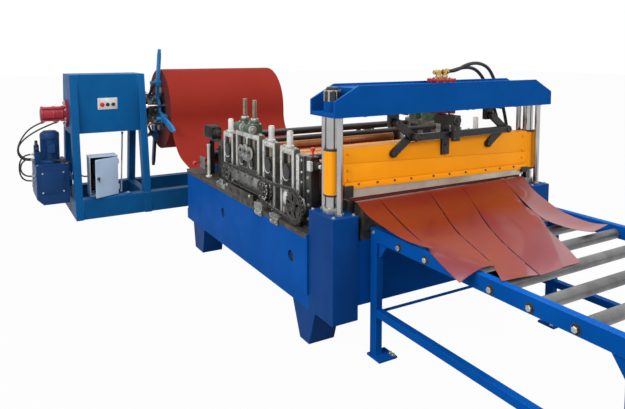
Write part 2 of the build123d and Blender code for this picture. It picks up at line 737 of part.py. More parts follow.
slit = pass_height + 1
slit_strip_sections = (
    (
        (apron_x, (-660, slit), (-585, slit), (-511, slit)),
        (apron_x + apron_flat, (-660, slit), (-585, slit), (-511, slit)),
        (60, (-661, 792), (-588, 792), (-516, 792)),
        (300, (-662, 752), (-610, 752), (-556, 752)),
        (520, (-650, 738), (-612, 735), (-574, 738)),
        (632, (-592, 752), (-588, 752), (-584, 752)),
    ),
    (
        (apron_x, (-508, slit), (-330, slit), (-153, slit)),
        (apron_x + apron_flat, (-508, slit), (-330, slit), (-153, slit)),
        (60, (-512, 786), (-340, 786), (-176, 786)),
        (300, (-570, 733), (-420, 733), (-281, 733)),
        (420, (-630, 715), (-614, 719), (-330, 722)),
        (520, (-655, 690), (-614, 719), (-374, 720)),
        (688, (-660, 655), (-614, 719), (-446, 720)),
        (760, (-640, 680), (-614, 722), (-477, 722)),
        (790, (-618, 722), (-606, 725), (-490, 725)),
        (826, (-575, 726), (-540, 726), (-505, 726)),
    ),
    (
        (apron_x, (-150, slit), (-20, slit), (107, slit)),
        (apron_x + apron_flat, (-150, slit), (-20, slit), (107, slit)),
        (60, (-173, 786), (-50, 786), (76, 786)),
        (300, (-278, 728), (-165, 726), (-50, 724)),
        (520, (-371, 708), (-270, 704), (-167, 702)),
        (688, (-468, 706), (-360, 702), (-255, 700)),
        (816, (-556, 716), (-530, 714), (-323, 700)),
        (900, (-594, 716), (-560, 716), (-366, 700)),
    ),
    (
        (apron_x, (110, slit), (220, slit), (327, slit)),
        (apron_x + apron_flat, (110, slit), (220, slit), (327, slit)),
        (60, (80, 786), (190, 788), (300, 792)),
        (300, (-46, 728), (70, 736), (180, 750)),
        (472, (-138, 706), (-20, 714), (88, 736)),
        (689, (-251, 700), (-150, 704), (-38, 716)),
        (905, (-362, 700), (-290, 700), (-222, 702)),
    ),
    (
        (apron_x, (330, slit), (400, slit), (467, slit)),
        (apron_x + apron_flat, (330, slit), (400, slit), (467, slit)),
        (60, (306, 790), (380, 788), (446, 784)),
        (300, (186, 734), (250, 728), (330, 722)),
        (472, (94, 708), (160, 706), (225, 704)),
        (689, (-30, 702), (25, 701), (80, 700)),
        (891, (-205, 699), (-140, 699), (-72, 699)),
    ),
    (
        (apron_x, (470, slit), (565, slit), (660, slit)),
        (apron_x + apron_flat, (470, slit), (565, slit), (660, slit)),
        (60, (450, 786), (540, 780), (630, 776)),
        (300, (336, 738), (420, 732), (520, 740)),
        (440, (284, 724), (370, 722), (470, 730)),
        (600, (284, 720), (360, 722), (430, 734)),
        (704, (290, 734), (350, 742), (415, 754)),
    ),
)
with BuildPart() as slit_strips:
    for sections in slit_strip_sections:
        outlines = []
        for x, *places in sections:
            over = [(x, y, z + strip_thickness / 2) for y, z in places]
            under = [(x, y, z - strip_thickness / 2) for y, z in reversed(places)]
            outlines.append(Wire.make_polygon(over + under, close=True))
        add(Solid.make_loft(outlines, ruled=True))
pieces["slit_strips"] = slit_strips

# Run-out table; on the far side its front leg stands further along the rail
rail_bottom = rail_top - rail_height
rail_inner = table_half_width - rail_thickness
with BuildPart() as table_frame:
    half_stretcher = stretcher_size / 2
    rod_x = table_start + table_leg / 2
    for side, first_leg in ((-1, table_start), (1, far_leg_place)):
        outer = side * table_half_width
        leg_y = (side * rail_inner, outer)
        brick((table_start, table_length), (side * rail_inner, outer), (rail_bottom, rail_top))
        for x in (first_leg, table_length - table_leg):
            brick((x, x + table_leg), leg_y, (foot_height, rail_bottom))
            brick((x, x + table_leg + 60), (side * (table_half_width - 100), side * (table_half_width + 20)),
                  (0, foot_height))
        stretcher_y = side * (table_half_width - rail_thickness / 2)
        brick((table_start + table_leg / 2, table_length - table_leg),
              (stretcher_y - half_stretcher, stretcher_y + half_stretcher),
              (stretcher_height - half_stretcher, stretcher_height + half_stretcher))
        for i in range(table_roller_count):
            x = table_roller_first + i * table_roller_pitch
            shaft(x, table_roller_height, roller_pin_diameter / 2 + pin_fit,
                  (outer + side, side * rail_inner - side), Mode.SUBTRACT)
    shaft(rod_x, stretcher_height - 10, cross_rod_diameter / 2, (-rail_inner, rail_inner))
    for x in (table_start, table_length - stretcher_size):
        brick((x, x + stretcher_size), (-rail_inner, rail_inner),
              (rail_bottom, rail_bottom + stretcher_size / 2))
pieces["table_frame"] = table_frame

for i in range(table_roller_count):
    with BuildPart() as table_roller:
        x = table_roller_first + i * table_roller_pitch
        reach = rail_inner - roller_side_gap
        pin_end = table_half_width + roller_pin_proud
        shaft(x, table_roller_height, table_roller_diameter / 2, (-reach, reach))
        shaft(x, table_roller_height, roller_pin_diameter / 2, (-pin_end, pin_end))
    pieces["table_roller_" + str(i + 1)] = table_roller

# Decoiler: coil, mandrel with its expansion links, keeper arms
drum_radius = coil_bore_radius - running_gap
arm_y = -half_strip - arm_offset
with BuildPart() as coil:
    shaft(coil_x, coil_height, coil_radius, (-half_strip, half_strip))
    shaft(coil_x, coil_height, coil_bore_radius, (-half_strip - cut_margin, half_strip + cut_margin),
          Mode.SUBTRACT)
pieces["coil"] = coil


def bar(start, end, radius):
    """A round bar between two points."""
    along = Vector(*end) - Vector(*start)
    with BuildSketch(Plane(Vector(*start), z_dir=along)) as section:
        Circle(radius)
    extrude(section.sketch, amount=along.length)


with BuildPart() as mandrel:
    shaft(coil_x, coil_height, drum_radius, (-half_strip, half_strip + 10))
    for angle in (45, 135, 225, 315):
        with Locations(Location((coil_x, 5, coil_height), (0, angle, 0))):
            with Locations((0, 0, drum_radius - segment_slot_depth / 2 + 2)):
                Box(segment_slot_width, strip_width + 40, segment_slot_depth, mode=Mode.SUBTRACT)
    shaft(coil_x, coil_height, mandrel_shaft_diameter / 2, (stand_y_near - 20, -half_strip))
    hub_y = arm_y - 110
    shaft(coil_x, coil_height, expansion_hub_radius, (hub_y, hub_y + expansion_hub_length))
    for i in range(4):
        angle = (arm_first_angle + 90 * i) * pi / 180
        across, up = cos(angle), sin(angle)
        root = (coil_x + 120 * across, hub_y + expansion_hub_length / 2, coil_height + 120 * up)
        tip = (coil_x + 285 * across, arm_y - lug_half_length - running_gap, coil_height + 285 * up)
        bar(root, tip, 14)
        shaft(tip[0], tip[2], 20, (tip[1] - lug_half_length, tip[1] + lug_half_length))
pieces["mandrel"] = mandrel

with BuildPart() as keeper_arms:
    with BuildSketch(Plane.XZ.offset(-arm_y)):
        with Locations((coil_x, coil_height)):
            Circle(expansion_hub_radius)
        arm_outline = ((0, -arm_width / 2), (arm_tip_radius - arm_point, -arm_width / 2),
                       (arm_tip_radius, -arm_width / 6), (arm_tip_radius, arm_width / 6),
                       (arm_tip_radius - arm_point, arm_width / 2), (0, arm_width / 2))
        for i in range(4):
            angle = (arm_first_angle + 90 * i) * pi / 180
            corners = []
            for out, across in arm_outline:
                corners.append((coil_x + out * cos(angle) - across * sin(angle),
                                coil_height + out * sin(angle) + across * cos(angle)))
            with BuildLine():
                Polyline(*corners, close=True)
            make_face()
        with Locations((coil_x, coil_height)):
            Circle(mandrel_shaft_diameter / 2 + block_clearance, mode=Mode.SUBTRACT)
    extrude(amount=-arm_thickness)
pieces["keeper_arms"] = keeper_arms

with BuildPart() as decoiler_stand:
    half_top = stand_top_depth / 2
    half_base = stand_base_depth / 2
    window_top = half_top - 35
    window_foot = half_base - base_beam_width
    for y in (stand_y_near, stand_y_far - stand_leg_depth):
        with BuildSketch(Plane.XZ.offset(-y - stand_leg_depth)):
            with BuildLine():
                Polyline((coil_x - half_top, stand_top), (coil_x + half_top, stand_top),
                         (coil_x + half_base, 0), (coil_x - half_base, 0), close=True)
            make_face()
            with BuildLine():
                Polyline((coil_x - window_top, stand_box_bottom), (coil_x + window_top, stand_box_bottom),
                         (coil_x + window_foot, base_beam_height), (coil_x - window_foot, base_beam_height),
                         close=True)
            make_face(mode=Mode.SUBTRACT)
        extrude(amount=stand_leg_depth)
    between = (stand_y_near + stand_leg_depth, stand_y_far - stand_leg_depth)
    brick((coil_x - half_top, coil_x + half_top), between, (stand_box_bottom, stand_top))
    for x in (coil_x - half_base + 20, coil_x + half_base - base_beam_width):
        brick((x, x + base_beam_width - 20), (between[0], base_beam_end), (0, base_beam_height))
    shaft(coil_x, coil_height, mandrel_shaft_diameter / 2 + rod_fit,
          (stand_y_near - cut_margin, stand_y_far + cut_margin), Mode.SUBTRACT)
pieces["decoiler_stand"] = decoiler_stand

# Hydraulic cylinder, power pack and their hoses
hose_ends = ((-3945, -1835), (-3895, -1712))
with BuildPart() as rotary_cylinder:
    cylinder_end = stand_y_near - rotary_flange_thickness
    shaft(coil_x, coil_height, rotary_radius, (cylinder_end - rotary_length, cylinder_end))
    shaft(coil_x, coil_height, rotary_flange_radius, (cylinder_end, stand_y_near))
    shaft(coil_x, coil_height, mandrel_shaft_diameter / 2 + cut_margin,
          (cylinder_end, stand_y_near + cut_margin), Mode.SUBTRACT)
    under = coil_height - rotary_radius
    for x, y in hose_ends:
        upright(x, y, 13, (under - 10, under + 20))
        bar((x, y, under - 5), (x, y - 24, under - 14), 12)
pieces["rotary_cylinder"] = rotary_cylinder

tank_x = (tank_middle_x - tank_length / 2, tank_middle_x + tank_length / 2)
tank_far = stand_y_near - tank_gap
tank_near = tank_far - tank_width
tank_ports = ((-3920, 364), (-3860, 421.4))
with BuildPart() as tank:
    with BuildSketch(Plane.YZ.offset(tank_x[0])):
        with BuildLine():
            Polyline((tank_near, tank_top), (tank_near, tank_bottom + tank_cut),
                     (tank_near + tank_cut, tank_bottom), (tank_far, tank_bottom), (tank_far, tank_top),
                     close=True)
        make_face()
    extrude(amount=tank_length)
    brick((coil_x - 340, coil_x + 340), (tank_far - 1, stand_y_near - running_gap), (400, 440))
    for x, z in tank_ports:
        shaft(x, z, port_radius, (tank_near - port_length, tank_near))
pieces["tank"] = tank

motor_y = (tank_near + tank_far) / 2 - 5
cable_x = motor_x + 94
cable_gland = 648
valve_ports = ((-3955, 568), (-3895, 591), (-3920, 632), (-3860, 600))
valve_face = tank_near + 5
with BuildPart() as pump_motor:
    upright(motor_x, motor_y, motor_radius, (tank_top + 20, tank_top + motor_height))
    upright(motor_x, motor_y, motor_radius + 22, (tank_top, tank_top + 20))
    upright(motor_x, motor_y, motor_radius - 18, (tank_top + motor_height, tank_top + motor_height + 20))
    box_face = motor_x + motor_radius
    brick((box_face - cut_margin, box_face + 32), (motor_y - 35, motor_y + 35), (660, 740))
    upright(cable_x, motor_y, port_radius, (cable_gland, 660))
    brick((-3980, -3840), (valve_face, valve_face + 50), (tank_top, 660))
    brick((-3970, -3900), (valve_face, valve_face + 45), (660, valve_top))
    for x, z in valve_ports:
        shaft(x, z, port_radius, (tank_near - port_length, valve_face))
pieces["pump_motor"] = pump_motor

decoiler_hose_diameter = 15
pieces["decoiler_hose_1"] = tube("decoiler_hose_1", (
    (-3945, -1859, 941), (-3945, -1914.2, 920.3), (-3949, -1988, 868), (-3953, -2044, 790),
    (-3957, -2078, 708), (-3957, -2080, 643), (-3956, -2049, 591), (-3955, -1998, 568),
    (-3955, -1955, 568)), decoiler_hose_diameter)
pieces["decoiler_hose_2"] = tube("decoiler_hose_2", (
    (-3895, -1736, 941), (-3895, -1803.2, 915.8), (-3891, -1888, 880), (-3887, -1975, 832),
    (-3888, -2046, 772), (-3890, -2080, 712), (-3892, -2074, 657), (-3894, -2043, 613),
    (-3895, -1999, 591), (-3895, -1955, 591)), decoiler_hose_diameter)
pieces["decoiler_hose_3"] = tube("decoiler_hose_3", (
    (-3920, -1955, 632), (-3920, -2003, 632), (-3922, -2048, 604), (-3923, -2070, 550), (-3923, -2074, 485),
    (-3922, -2064, 425), (-3921, -2038, 385), (-3920, -1997, 364), (-3920, -1955, 364)),
    decoiler_hose_diameter)
pieces["decoiler_hose_4"] = tube("decoiler_hose_4", (
    (-3860, -1955, 600), (-3860, -2005, 600), (-3862, -2051.9, 565.9), (-3863, -2069.8, 510.7),
    (-3862, -2051.9, 455.5), (-3860, -2005, 421.4), (-3860, -1955, 421.4)), decoiler_hose_diameter)
pieces["motor_cable"] = tube("motor_cable", (
    (cable_x, motor_y, cable_gland), (cable_x, motor_y, 606), (-3752, -1778, 587), (-3743, -1740, 576),
    (-3733, -1690, 572), (-3720, -1632, 562), (-3708, -1582, 522), (-3698, -1554, 470), (-3692, -1541, 427),
    (-3690, -1512, 400), (-3690, -1474, 400)), cable_diameter)

# Switch cabinet, its door standing ajar
door_hinge = (cabinet_x[1] + 12, cabinet_y[1] + 4)
with BuildPart() as cabinet_body:
    brick(cabinet_x, cabinet_y, (base_beam_height, cabinet_top))
    brick((cabinet_x[0] + cabinet_plate, cabinet_x[1] + cut_margin),
          (cabinet_y[0] + cabinet_plate, cabinet_y[1] - cabinet_plate),
          (base_beam_height + cabinet_plate, cabinet_top - cabinet_plate), Mode.SUBTRACT)
    brick((cabinet_x[0] - 10, coil_x + half_base - base_beam_width), (cabinet_y[0] + 10, cabinet_y[1] - 10),
          (base_beam_height - 20, base_beam_height))
    shaft(-3690, 400, port_radius, (-1474, cabinet_y[0]))
    for z in hinge_heights:
        brick((cabinet_x[1] - 4, door_hinge[0]), (cabinet_y[1], door_hinge[1] + 2), (z, z + knuckle_length))
        upright(*door_hinge, knuckle_radius, (z, z + knuckle_length))
        upright(*door_hinge, hinge_pin_radius, (z, z + 50))
pieces["cabinet_body"] = cabinet_body

with BuildPart() as cabinet_door:
    door_middle = (base_beam_height + cabinet_top) / 2
    with Locations(Location((*door_hinge, door_middle), (0, 0, door_open))):
        with Locations((4, -138, 0)):
            Box(door_thickness, 260, cabinet_top - base_beam_height - 15)
    for z in hinge_heights:
        upright(*door_hinge, knuckle_radius, (z + knuckle_length + running_gap, z + 50))
        upright(*door_hinge, hinge_pin_radius + journal_clearance, (z, z + 51), Mode.SUBTRACT)
pieces["cabinet_door"] = cabinet_door

boxes = []
for name, piece in pieces.items():
    if "hose" not in name and "cable" not in name:
        boxes.append(piece.part.bounding_box())
middle_x = (min(box.min.X for box in boxes) + max(box.max.X for box in boxes)) / 2
middle_y = (min(box.min.Y for box in boxes) + max(box.max.Y for box in boxes)) / 2
to_origin = Location((-middle_x, -middle_y, 0))
print("origin moved to", round(middle_x, 3), round(middle_y, 3), "pieces", len(pieces))
for name, piece in pieces.items():
    finished = piece.part.moved(to_origin)
    finished.label = name
    export_step(finished, f"parts/{name}.step")
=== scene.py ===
"""Looks of the cut-to-length line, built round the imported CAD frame. Places and sizes are in millimetres."""
import bmesh
import bpy
from math import acos, atan2, cos, hypot, pi, radians, sin
from mathutils import Euler, Matrix, Vector


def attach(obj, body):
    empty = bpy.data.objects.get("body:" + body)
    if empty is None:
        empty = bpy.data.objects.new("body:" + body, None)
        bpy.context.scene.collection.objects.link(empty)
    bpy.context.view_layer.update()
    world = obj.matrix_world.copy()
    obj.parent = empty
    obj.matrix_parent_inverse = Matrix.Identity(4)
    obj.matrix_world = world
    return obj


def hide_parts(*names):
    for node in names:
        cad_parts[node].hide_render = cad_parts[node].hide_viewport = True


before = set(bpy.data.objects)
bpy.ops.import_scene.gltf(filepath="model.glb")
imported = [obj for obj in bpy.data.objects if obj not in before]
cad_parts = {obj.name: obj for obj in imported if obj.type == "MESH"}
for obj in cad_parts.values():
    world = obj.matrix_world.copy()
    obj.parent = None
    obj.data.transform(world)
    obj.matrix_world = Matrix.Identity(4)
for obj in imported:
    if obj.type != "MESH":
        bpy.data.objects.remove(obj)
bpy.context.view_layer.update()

# The point from which places are given, in metres, and the middles, faces and tops of the larger pieces
origin = Vector((1.509709, 0.5465, 0))
coil_x, coil_z = -3920, 1030
stand_near, stand_far = -1614, -874
pinch_places = (-1550, -859, -603)
stand_tops = (1060, 1082, 1078)
levelling_places = (-1283, -1121)
post_x, post_y = -127, 775
stand_y, stand_face = 780, 799.8
deck_z, roller_z, slit_z = 640.2, 668, 841
shaft_z, drive_x, drive_z = 764.7, -432, 757
chain_pitch = 25.4


def mm(x, y, z):
    """A vector given in millimetres."""
    return Vector((x / 1000, y / 1000, z / 1000))


def at(x, y, z):
    """A point of the row frame, given in millimetres from the shear."""
    return mm(x, y, z) + origin


# Materials
def node(tree, kind, inputs=None, **settings):
    """One node, with its settings and its inputs set or linked."""
    made = tree.nodes.new(kind)
    for name, value in settings.items():
        setattr(made, name, value)
    for name, value in (inputs or {}).items():
        socket = made.inputs[name]
        if isinstance(value, bpy.types.NodeSocket):
            tree.links.new(value, socket)
        else:
            socket.default_value = value
    return made


def maths(tree, operation, *values, **settings):
    """A Math node on up to three values."""
    made = node(tree, "ShaderNodeMath", dict(enumerate(values)), operation=operation, **settings)
    return made.outputs["Value"]


def vector_maths(tree, operation, *values, output="Vector"):
    """A Vector Math node on one or two vectors."""
    return node(tree, "ShaderNodeVectorMath", dict(enumerate(values)), operation=operation).outputs[output]


def mixed(tree, share, first, second):
    """A mix of two colours by a share; each may be a socket."""
    return node(tree, "ShaderNodeMix", {0: share, 6: first, 7: second}, data_type="RGBA").outputs[2]


def map_range(tree, value, low, high):
    """A value's place between two limits, from 0 to 1."""
    return node(tree, "ShaderNodeMapRange", {"Value": value, "From Min": low, "From Max": high}).outputs["Result"]


def shader_group(name, inputs, outputs):
    """An empty shader group with its sockets."""
    tree = bpy.data.node_groups.new(name, "ShaderNodeTree")
    for socket, kind, value in inputs:
        made = tree.interface.new_socket(socket, in_out="INPUT", socket_type="NodeSocket" + kind)
        if value is not None:
            made.default_value = value
    for socket, kind in outputs:
        tree.interface.new_socket(socket, in_out="OUTPUT", socket_type="NodeSocket" + kind)
    return tree, tree.nodes.new("NodeGroupInput").outputs, tree.nodes.new("NodeGroupOutput").inputs


def make_tone_group():
    """Colour and roughness that vary in soft patches, with an edge colour along the edges that is partly wear and
    partly painted highlight.
    """
    tree, given, out = shader_group("patchy_tone", (("Colour", "Color", None), ("Shade", "Color", None),
        ("Edge", "Color", None), ("Patch Scale", "Float", 3.0), ("Roughness", "Float", 0.4),
        ("Roughness Range", "Float", 0.1), ("Edge Wear And Highlight", "Float", 0.5)),
        (("Colour", "Color"), ("Roughness", "Float")))
    place = node(tree, "ShaderNodeTexCoord").outputs["Object"]
    patch = node(tree, "ShaderNodeTexNoise", {"Vector": place, "Scale": given["Patch Scale"], "Detail": 6.0,
        "Roughness": 0.6})
    spread = map_range(tree, patch.outputs["Fac"], 0.35, 0.68)
    base = mixed(tree, spread, given["Colour"], given["Shade"])
    # Edge mask from the Bevel node, broken by fine noise: the edge colour it lays is partly wear, partly painted
    # highlight
    rounded = node(tree, "ShaderNodeBevel", {"Radius": 0.003}, samples=4).outputs["Normal"]
    plain = node(tree, "ShaderNodeNewGeometry").outputs["True Normal"]
    bend = vector_maths(tree, "DOT_PRODUCT", rounded, plain, output="Value")
    fine = node(tree, "ShaderNodeTexNoise", {"Vector": place, "Scale": 45.0, "Detail": 4.0}).outputs["Fac"]
    broken = maths(tree, "MULTIPLY", map_range(tree, bend, 0.995, 0.88), fine)
    amount = maths(tree, "MULTIPLY", broken, given["Edge Wear And Highlight"], use_clamp=True)
    tree.links.new(mixed(tree, amount, base, given["Edge"]), out["Colour"])
    tree.links.new(maths(tree, "MULTIPLY_ADD", spread, given["Roughness Range"], given["Roughness"]), out["Roughness"])
    return tree


def make_relief_group():
    """Small relief: an even grain, and a coarser waviness under it."""
    tree, given, out = shader_group("small_relief", (("Stretch", "Vector", (1, 1, 1)), ("Grain Scale", "Float", 600.0),
        ("Grain", "Float", 0.1), ("Wave Scale", "Float", 14.0), ("Wave", "Float", 0.05)), (("Normal", "Vector"),))
    place = node(tree, "ShaderNodeTexCoord").outputs["Object"]
    drawn = vector_maths(tree, "MULTIPLY", place, given["Stretch"])
    grain = node(tree, "ShaderNodeTexNoise", {"Vector": drawn, "Scale": given["Grain Scale"],
        "Detail": 3.0}).outputs["Fac"]
    wave = node(tree, "ShaderNodeTexNoise", {"Vector": place, "Scale": given["Wave Scale"],
        "Detail": 2.0}).outputs["Fac"]
    coarse = node(tree, "ShaderNodeBump", {"Strength": given["Wave"], "Distance": 0.02, "Height": wave})
    both = node(tree, "ShaderNodeBump", {"Strength": given["Grain"], "Distance": 0.001, "Height": grain,
        "Normal": coarse.outputs["Normal"]})
    tree.links.new(both.outputs["Normal"], out["Normal"])
    return tree


tone_group = make_tone_group()
relief_group = make_relief_group()


def finish(name, colour, shade, edge, rough=0.35, rough_range=0.1, metal=0.0, patch=3.0, edge_wear_and_highlight=0.6,
        stretch=(1, 1, 1), grain_scale=600.0, grain=0.1, wave_scale=14.0, wave=0.04, coat=0.0, coat_rough=0.1,
        specular=0.3):
    """A Principled material with patchy tone, edges partly worn and partly painted as highlight, and small relief."""
    made = bpy.data.materials.new(name)
    made.use_nodes = True
    tree = made.node_tree
    shader = tree.nodes["Principled BSDF"]
    tone = node(tree, "ShaderNodeGroup", node_tree=tone_group)
    for socket, value in (("Colour", (*colour, 1)), ("Shade", (*shade, 1)), ("Edge", (*edge, 1)),
            ("Patch Scale", patch), ("Roughness", rough), ("Roughness Range", rough_range),
            ("Edge Wear And Highlight", edge_wear_and_highlight)):
        tone.inputs[socket].default_value = value
    relief = node(tree, "ShaderNodeGroup", node_tree=relief_group)
    for socket, value in (("Stretch", stretch), ("Grain Scale", grain_scale), ("Grain", grain),
            ("Wave Scale", wave_scale), ("Wave", wave)):
        relief.inputs[socket].default_value = value
    tree.links.new(tone.outputs["Colour"], shader.inputs["Base Color"])
    tree.links.new(tone.outputs["Roughness"], shader.inputs["Roughness"])
    tree.links.new(relief.outputs["Normal"], shader.inputs["Normal"])
    shader.inputs["Metallic"].default_value = metal
    shader.inputs["Coat Weight"].default_value = coat
    shader.inputs["Coat Roughness"].default_value = coat_rough
    shader.inputs["Specular IOR Level"].default_value = specular
    return made


blue = finish("blue_paint", (0.002, 0.083, 0.37), (0.001, 0.068, 0.31), (0.04, 0.22, 0.6), rough=0.4, specular=0.012,
    grain=0.06, wave=0.05, edge_wear_and_highlight=0.8)
# The blue paint made darker for the top beam: painted shade
beam_shaded_blue = finish("painted_shade_beam_paint", (0.003, 0.072, 0.29), (0.002, 0.058, 0.24), (0.04, 0.2, 0.5), rough=0.42,
    specular=0.02, grain=0.06, wave=0.05, edge_wear_and_highlight=0.8)
# The blue paint made darker for the front columns and legs: painted shade on these lower faces
column_shaded_blue = finish("painted_shade_column_paint", (0.003, 0.05, 0.215), (0.002, 0.038, 0.17), (0.04, 0.18, 0.45), rough=0.42,
    specular=0.04, grain=0.06, wave=0.05, edge_wear_and_highlight=0.8)
stand_blue = finish("stand_blue_paint", (0.001, 0.085, 0.25), (0.001, 0.066, 0.2), (0.04, 0.25, 0.5), rough=0.45,
    specular=0.12, edge_wear_and_highlight=0.9)
bright_blue = finish("bright_blue_paint", (0.02, 0.19, 0.44), (0.01, 0.14, 0.35), (0.1, 0.4, 0.7), rough=0.38,
    specular=0.2)
dark_blue = finish("dark_blue_paint", (0.008, 0.045, 0.15), (0.004, 0.028, 0.1), (0.04, 0.12, 0.3), rough=0.4,
    specular=0.15)
yellow = finish("yellow_paint", (0.98, 0.36, 0.008), (0.92, 0.32, 0.006), (0.5, 0.16, 0.01), rough=0.4, specular=0.15,
    grain=0.05, edge_wear_and_highlight=0.4)
red = finish("red_paint", (0.36, 0.012, 0.03), (0.24, 0.006, 0.015), (0.6, 0.12, 0.14), rough=0.32, coat=0.3, patch=9)
green = finish("green_casting", (0.07, 0.12, 0.065), (0.02, 0.04, 0.022), (0.5, 0.55, 0.5), rough=0.4, patch=22,
    grain_scale=320, grain=0.4, wave_scale=60, wave=0.12, metal=0.25)
grey_paint = finish("grey_paint", (0.42, 0.53, 0.68), (0.34, 0.44, 0.58), (0.7, 0.78, 0.86), rough=0.4, grain=0.12,
    edge_wear_and_highlight=0.5)
steel = finish("ground_steel", (0.46, 0.46, 0.43), (0.3, 0.3, 0.28), (0.75, 0.75, 0.72), rough=0.3, rough_range=0.22,
    metal=0.85, patch=7, stretch=(1, 1, 26), grain_scale=160, grain=0.2)
pale_steel = finish("pale_steel", (0.72, 0.72, 0.68), (0.45, 0.45, 0.41), (0.95, 0.95, 0.92), rough=0.32,
    rough_range=0.2, metal=0.55, patch=12, stretch=(1, 1, 20), grain_scale=150, grain=0.2)
plate_steel = finish("stand_plate_steel", (0.3, 0.3, 0.27), (0.09, 0.09, 0.08), (0.95, 0.95, 0.9), rough=0.3,
    rough_range=0.2, metal=0.75, patch=14, edge_wear_and_highlight=1.4, stretch=(26, 1, 1), grain_scale=130, grain=0.25)
blade_steel = finish("blade_steel", (0.58, 0.54, 0.46), (0.4, 0.35, 0.27), (0.8, 0.76, 0.66), rough=0.34,
    rough_range=0.15, metal=0.6, patch=5, stretch=(1, 0.04, 1), grain_scale=500, grain=0.2)
chrome = finish("hard_chrome", (0.46, 0.46, 0.46), (0.38, 0.38, 0.38), (0.8, 0.8, 0.8), rough=0.1, rough_range=0.08,
    metal=1.0, patch=6, stretch=(1, 1, 0.05), grain_scale=900, grain=0.05, wave=0.0)
roll_steel = finish("roll_steel", (0.5, 0.48, 0.46), (0.36, 0.33, 0.3), (0.8, 0.8, 0.8), rough=0.22, rough_range=0.14,
    metal=1.0, patch=8, stretch=(30, 1, 30), grain_scale=60, grain=0.12)
table_roll = finish("table_roller_steel", (0.2, 0.2, 0.2), (0.12, 0.12, 0.12), (0.5, 0.5, 0.5), rough=0.32,
    rough_range=0.15, metal=0.7, patch=8, stretch=(1, 0.1, 1), grain_scale=300, grain=0.2)
# Roll steel tinted copper: painted reflection of the red sheet on the rolls
sheet_reflection_roll = finish("painted_sheet_reflection_roll", (0.5, 0.22, 0.1), (0.36, 0.14, 0.06), (0.7, 0.4, 0.25), rough=0.24,
    metal=0.9, patch=6, stretch=(30, 1, 30), grain_scale=60, grain=0.12)
dark_steel = finish("oiled_dark_steel", (0.035, 0.033, 0.03), (0.012, 0.011, 0.01), (0.3, 0.29, 0.27), rough=0.34,
    rough_range=0.25, metal=0.65, patch=30, edge_wear_and_highlight=1.0, grain=0.25, wave_scale=90, wave=0.1)
black_paint = finish("black_paint", (0.012, 0.012, 0.012), (0.022, 0.021, 0.02), (0.12, 0.12, 0.12), rough=0.36,
    rough_range=0.14, patch=10, coat=0.15)
brown_steel = finish("brown_deck_steel", (0.085, 0.075, 0.06), (0.03, 0.027, 0.024), (0.3, 0.27, 0.22), rough=0.5,
    rough_range=0.2, metal=0.5, patch=16, grain_scale=280, grain=0.3)
screw_steel = finish("screw_steel", (0.3, 0.25, 0.18), (0.16, 0.13, 0.1), (0.6, 0.55, 0.45), rough=0.32, metal=0.85,
    patch=20, stretch=(1, 1, 14), grain_scale=300, grain=0.4)
brass = finish("brass", (0.62, 0.44, 0.16), (0.4, 0.26, 0.08), (0.85, 0.7, 0.4), rough=0.25, metal=0.95, patch=30)
rubber = finish("hose_rubber", (0.012, 0.012, 0.013), (0.02, 0.02, 0.02), (0.06, 0.06, 0.06), rough=0.45,
    grain_scale=900, grain=0.3, edge_wear_and_highlight=0.2)
white_part = finish("white_plastic", (0.62, 0.62, 0.6), (0.46, 0.46, 0.44), (0.9, 0.9, 0.9), rough=0.35, patch=12)
red_plastic = finish("red_plastic", (0.6, 0.01, 0.01), (0.45, 0.006, 0.006), (0.8, 0.2, 0.2), rough=0.25, coat=0.4)
# Near-black: painted shade in the edge plate's slots, the lifting holes and behind the stand windows, and the black of
# the switchgear
shade_and_black = finish("painted_shade_and_black_parts", (0.01, 0.012, 0.018), (0.005, 0.006, 0.01), (0.03, 0.03, 0.04), rough=0.6)


def recolour(tree, share, colour):
    """Mixes a second colour into a material's own, by a share."""
    base = tree.nodes["Principled BSDF"].inputs["Base Color"]
    tree.links.new(mixed(tree, share, base.links[0].from_socket, (*colour, 1)), base)


def coil_sheet():
    """The coil: even red on the outer turn, and rings of wound edges on its two faces."""
    made = finish("wound_sheet", (0.235, 0.022, 0.014), (0.215, 0.02, 0.013), (0.4, 0.1, 0.07), rough=0.55,
        rough_range=0.1, specular=0.03, patch=1.5, grain=0.04, wave_scale=4.0, wave=0.12, edge_wear_and_highlight=0.3)
    tree = made.node_tree
    place = node(tree, "ShaderNodeTexCoord").outputs["Object"]
    moved = vector_maths(tree, "SUBTRACT", place, at(coil_x, 0, coil_z))
    flat = vector_maths(tree, "MULTIPLY", moved, (1, 0, 1))
    radius = vector_maths(tree, "LENGTH", flat, output="Value")
    turns = node(tree, "ShaderNodeTexNoise", {"W": radius, "Scale": 260.0, "Detail": 2.0},
        noise_dimensions="1D").outputs["Fac"]
    side = node(tree, "ShaderNodeSeparateXYZ", {0: node(tree, "ShaderNodeNewGeometry").outputs["True Normal"]})
    line = maths(tree, "MULTIPLY", turns, maths(tree, "ABSOLUTE", side.outputs["Y"]))
    recolour(tree, map_range(tree, line, 0.42, 0.6), (0.06, 0.045, 0.05))
    return made


# The keeper arms' blue, darker below 0.66 m: painted shade on the lower arm
keeper_blue_shaded = bright_blue.copy()
keeper_blue_shaded.name = "keeper_arm_paint"
tree = keeper_blue_shaded.node_tree
height = node(tree, "ShaderNodeSeparateXYZ", {0: node(tree, "ShaderNodeTexCoord").outputs["Object"]}).outputs["Z"]
recolour(tree, maths(tree, "LESS_THAN", height, 0.66), (0.004, 0.012, 0.04))

sheet = finish("coated_sheet", (0.185, 0.016, 0.006), (0.16, 0.013, 0.006), (0.4, 0.08, 0.05), rough=0.3,
    rough_range=0.08, patch=1.2, grain=0.03, wave_scale=4.0, wave=0.02, coat=0.4, coat_rough=0.12, edge_wear_and_highlight=0.7,
    specular=0.2)
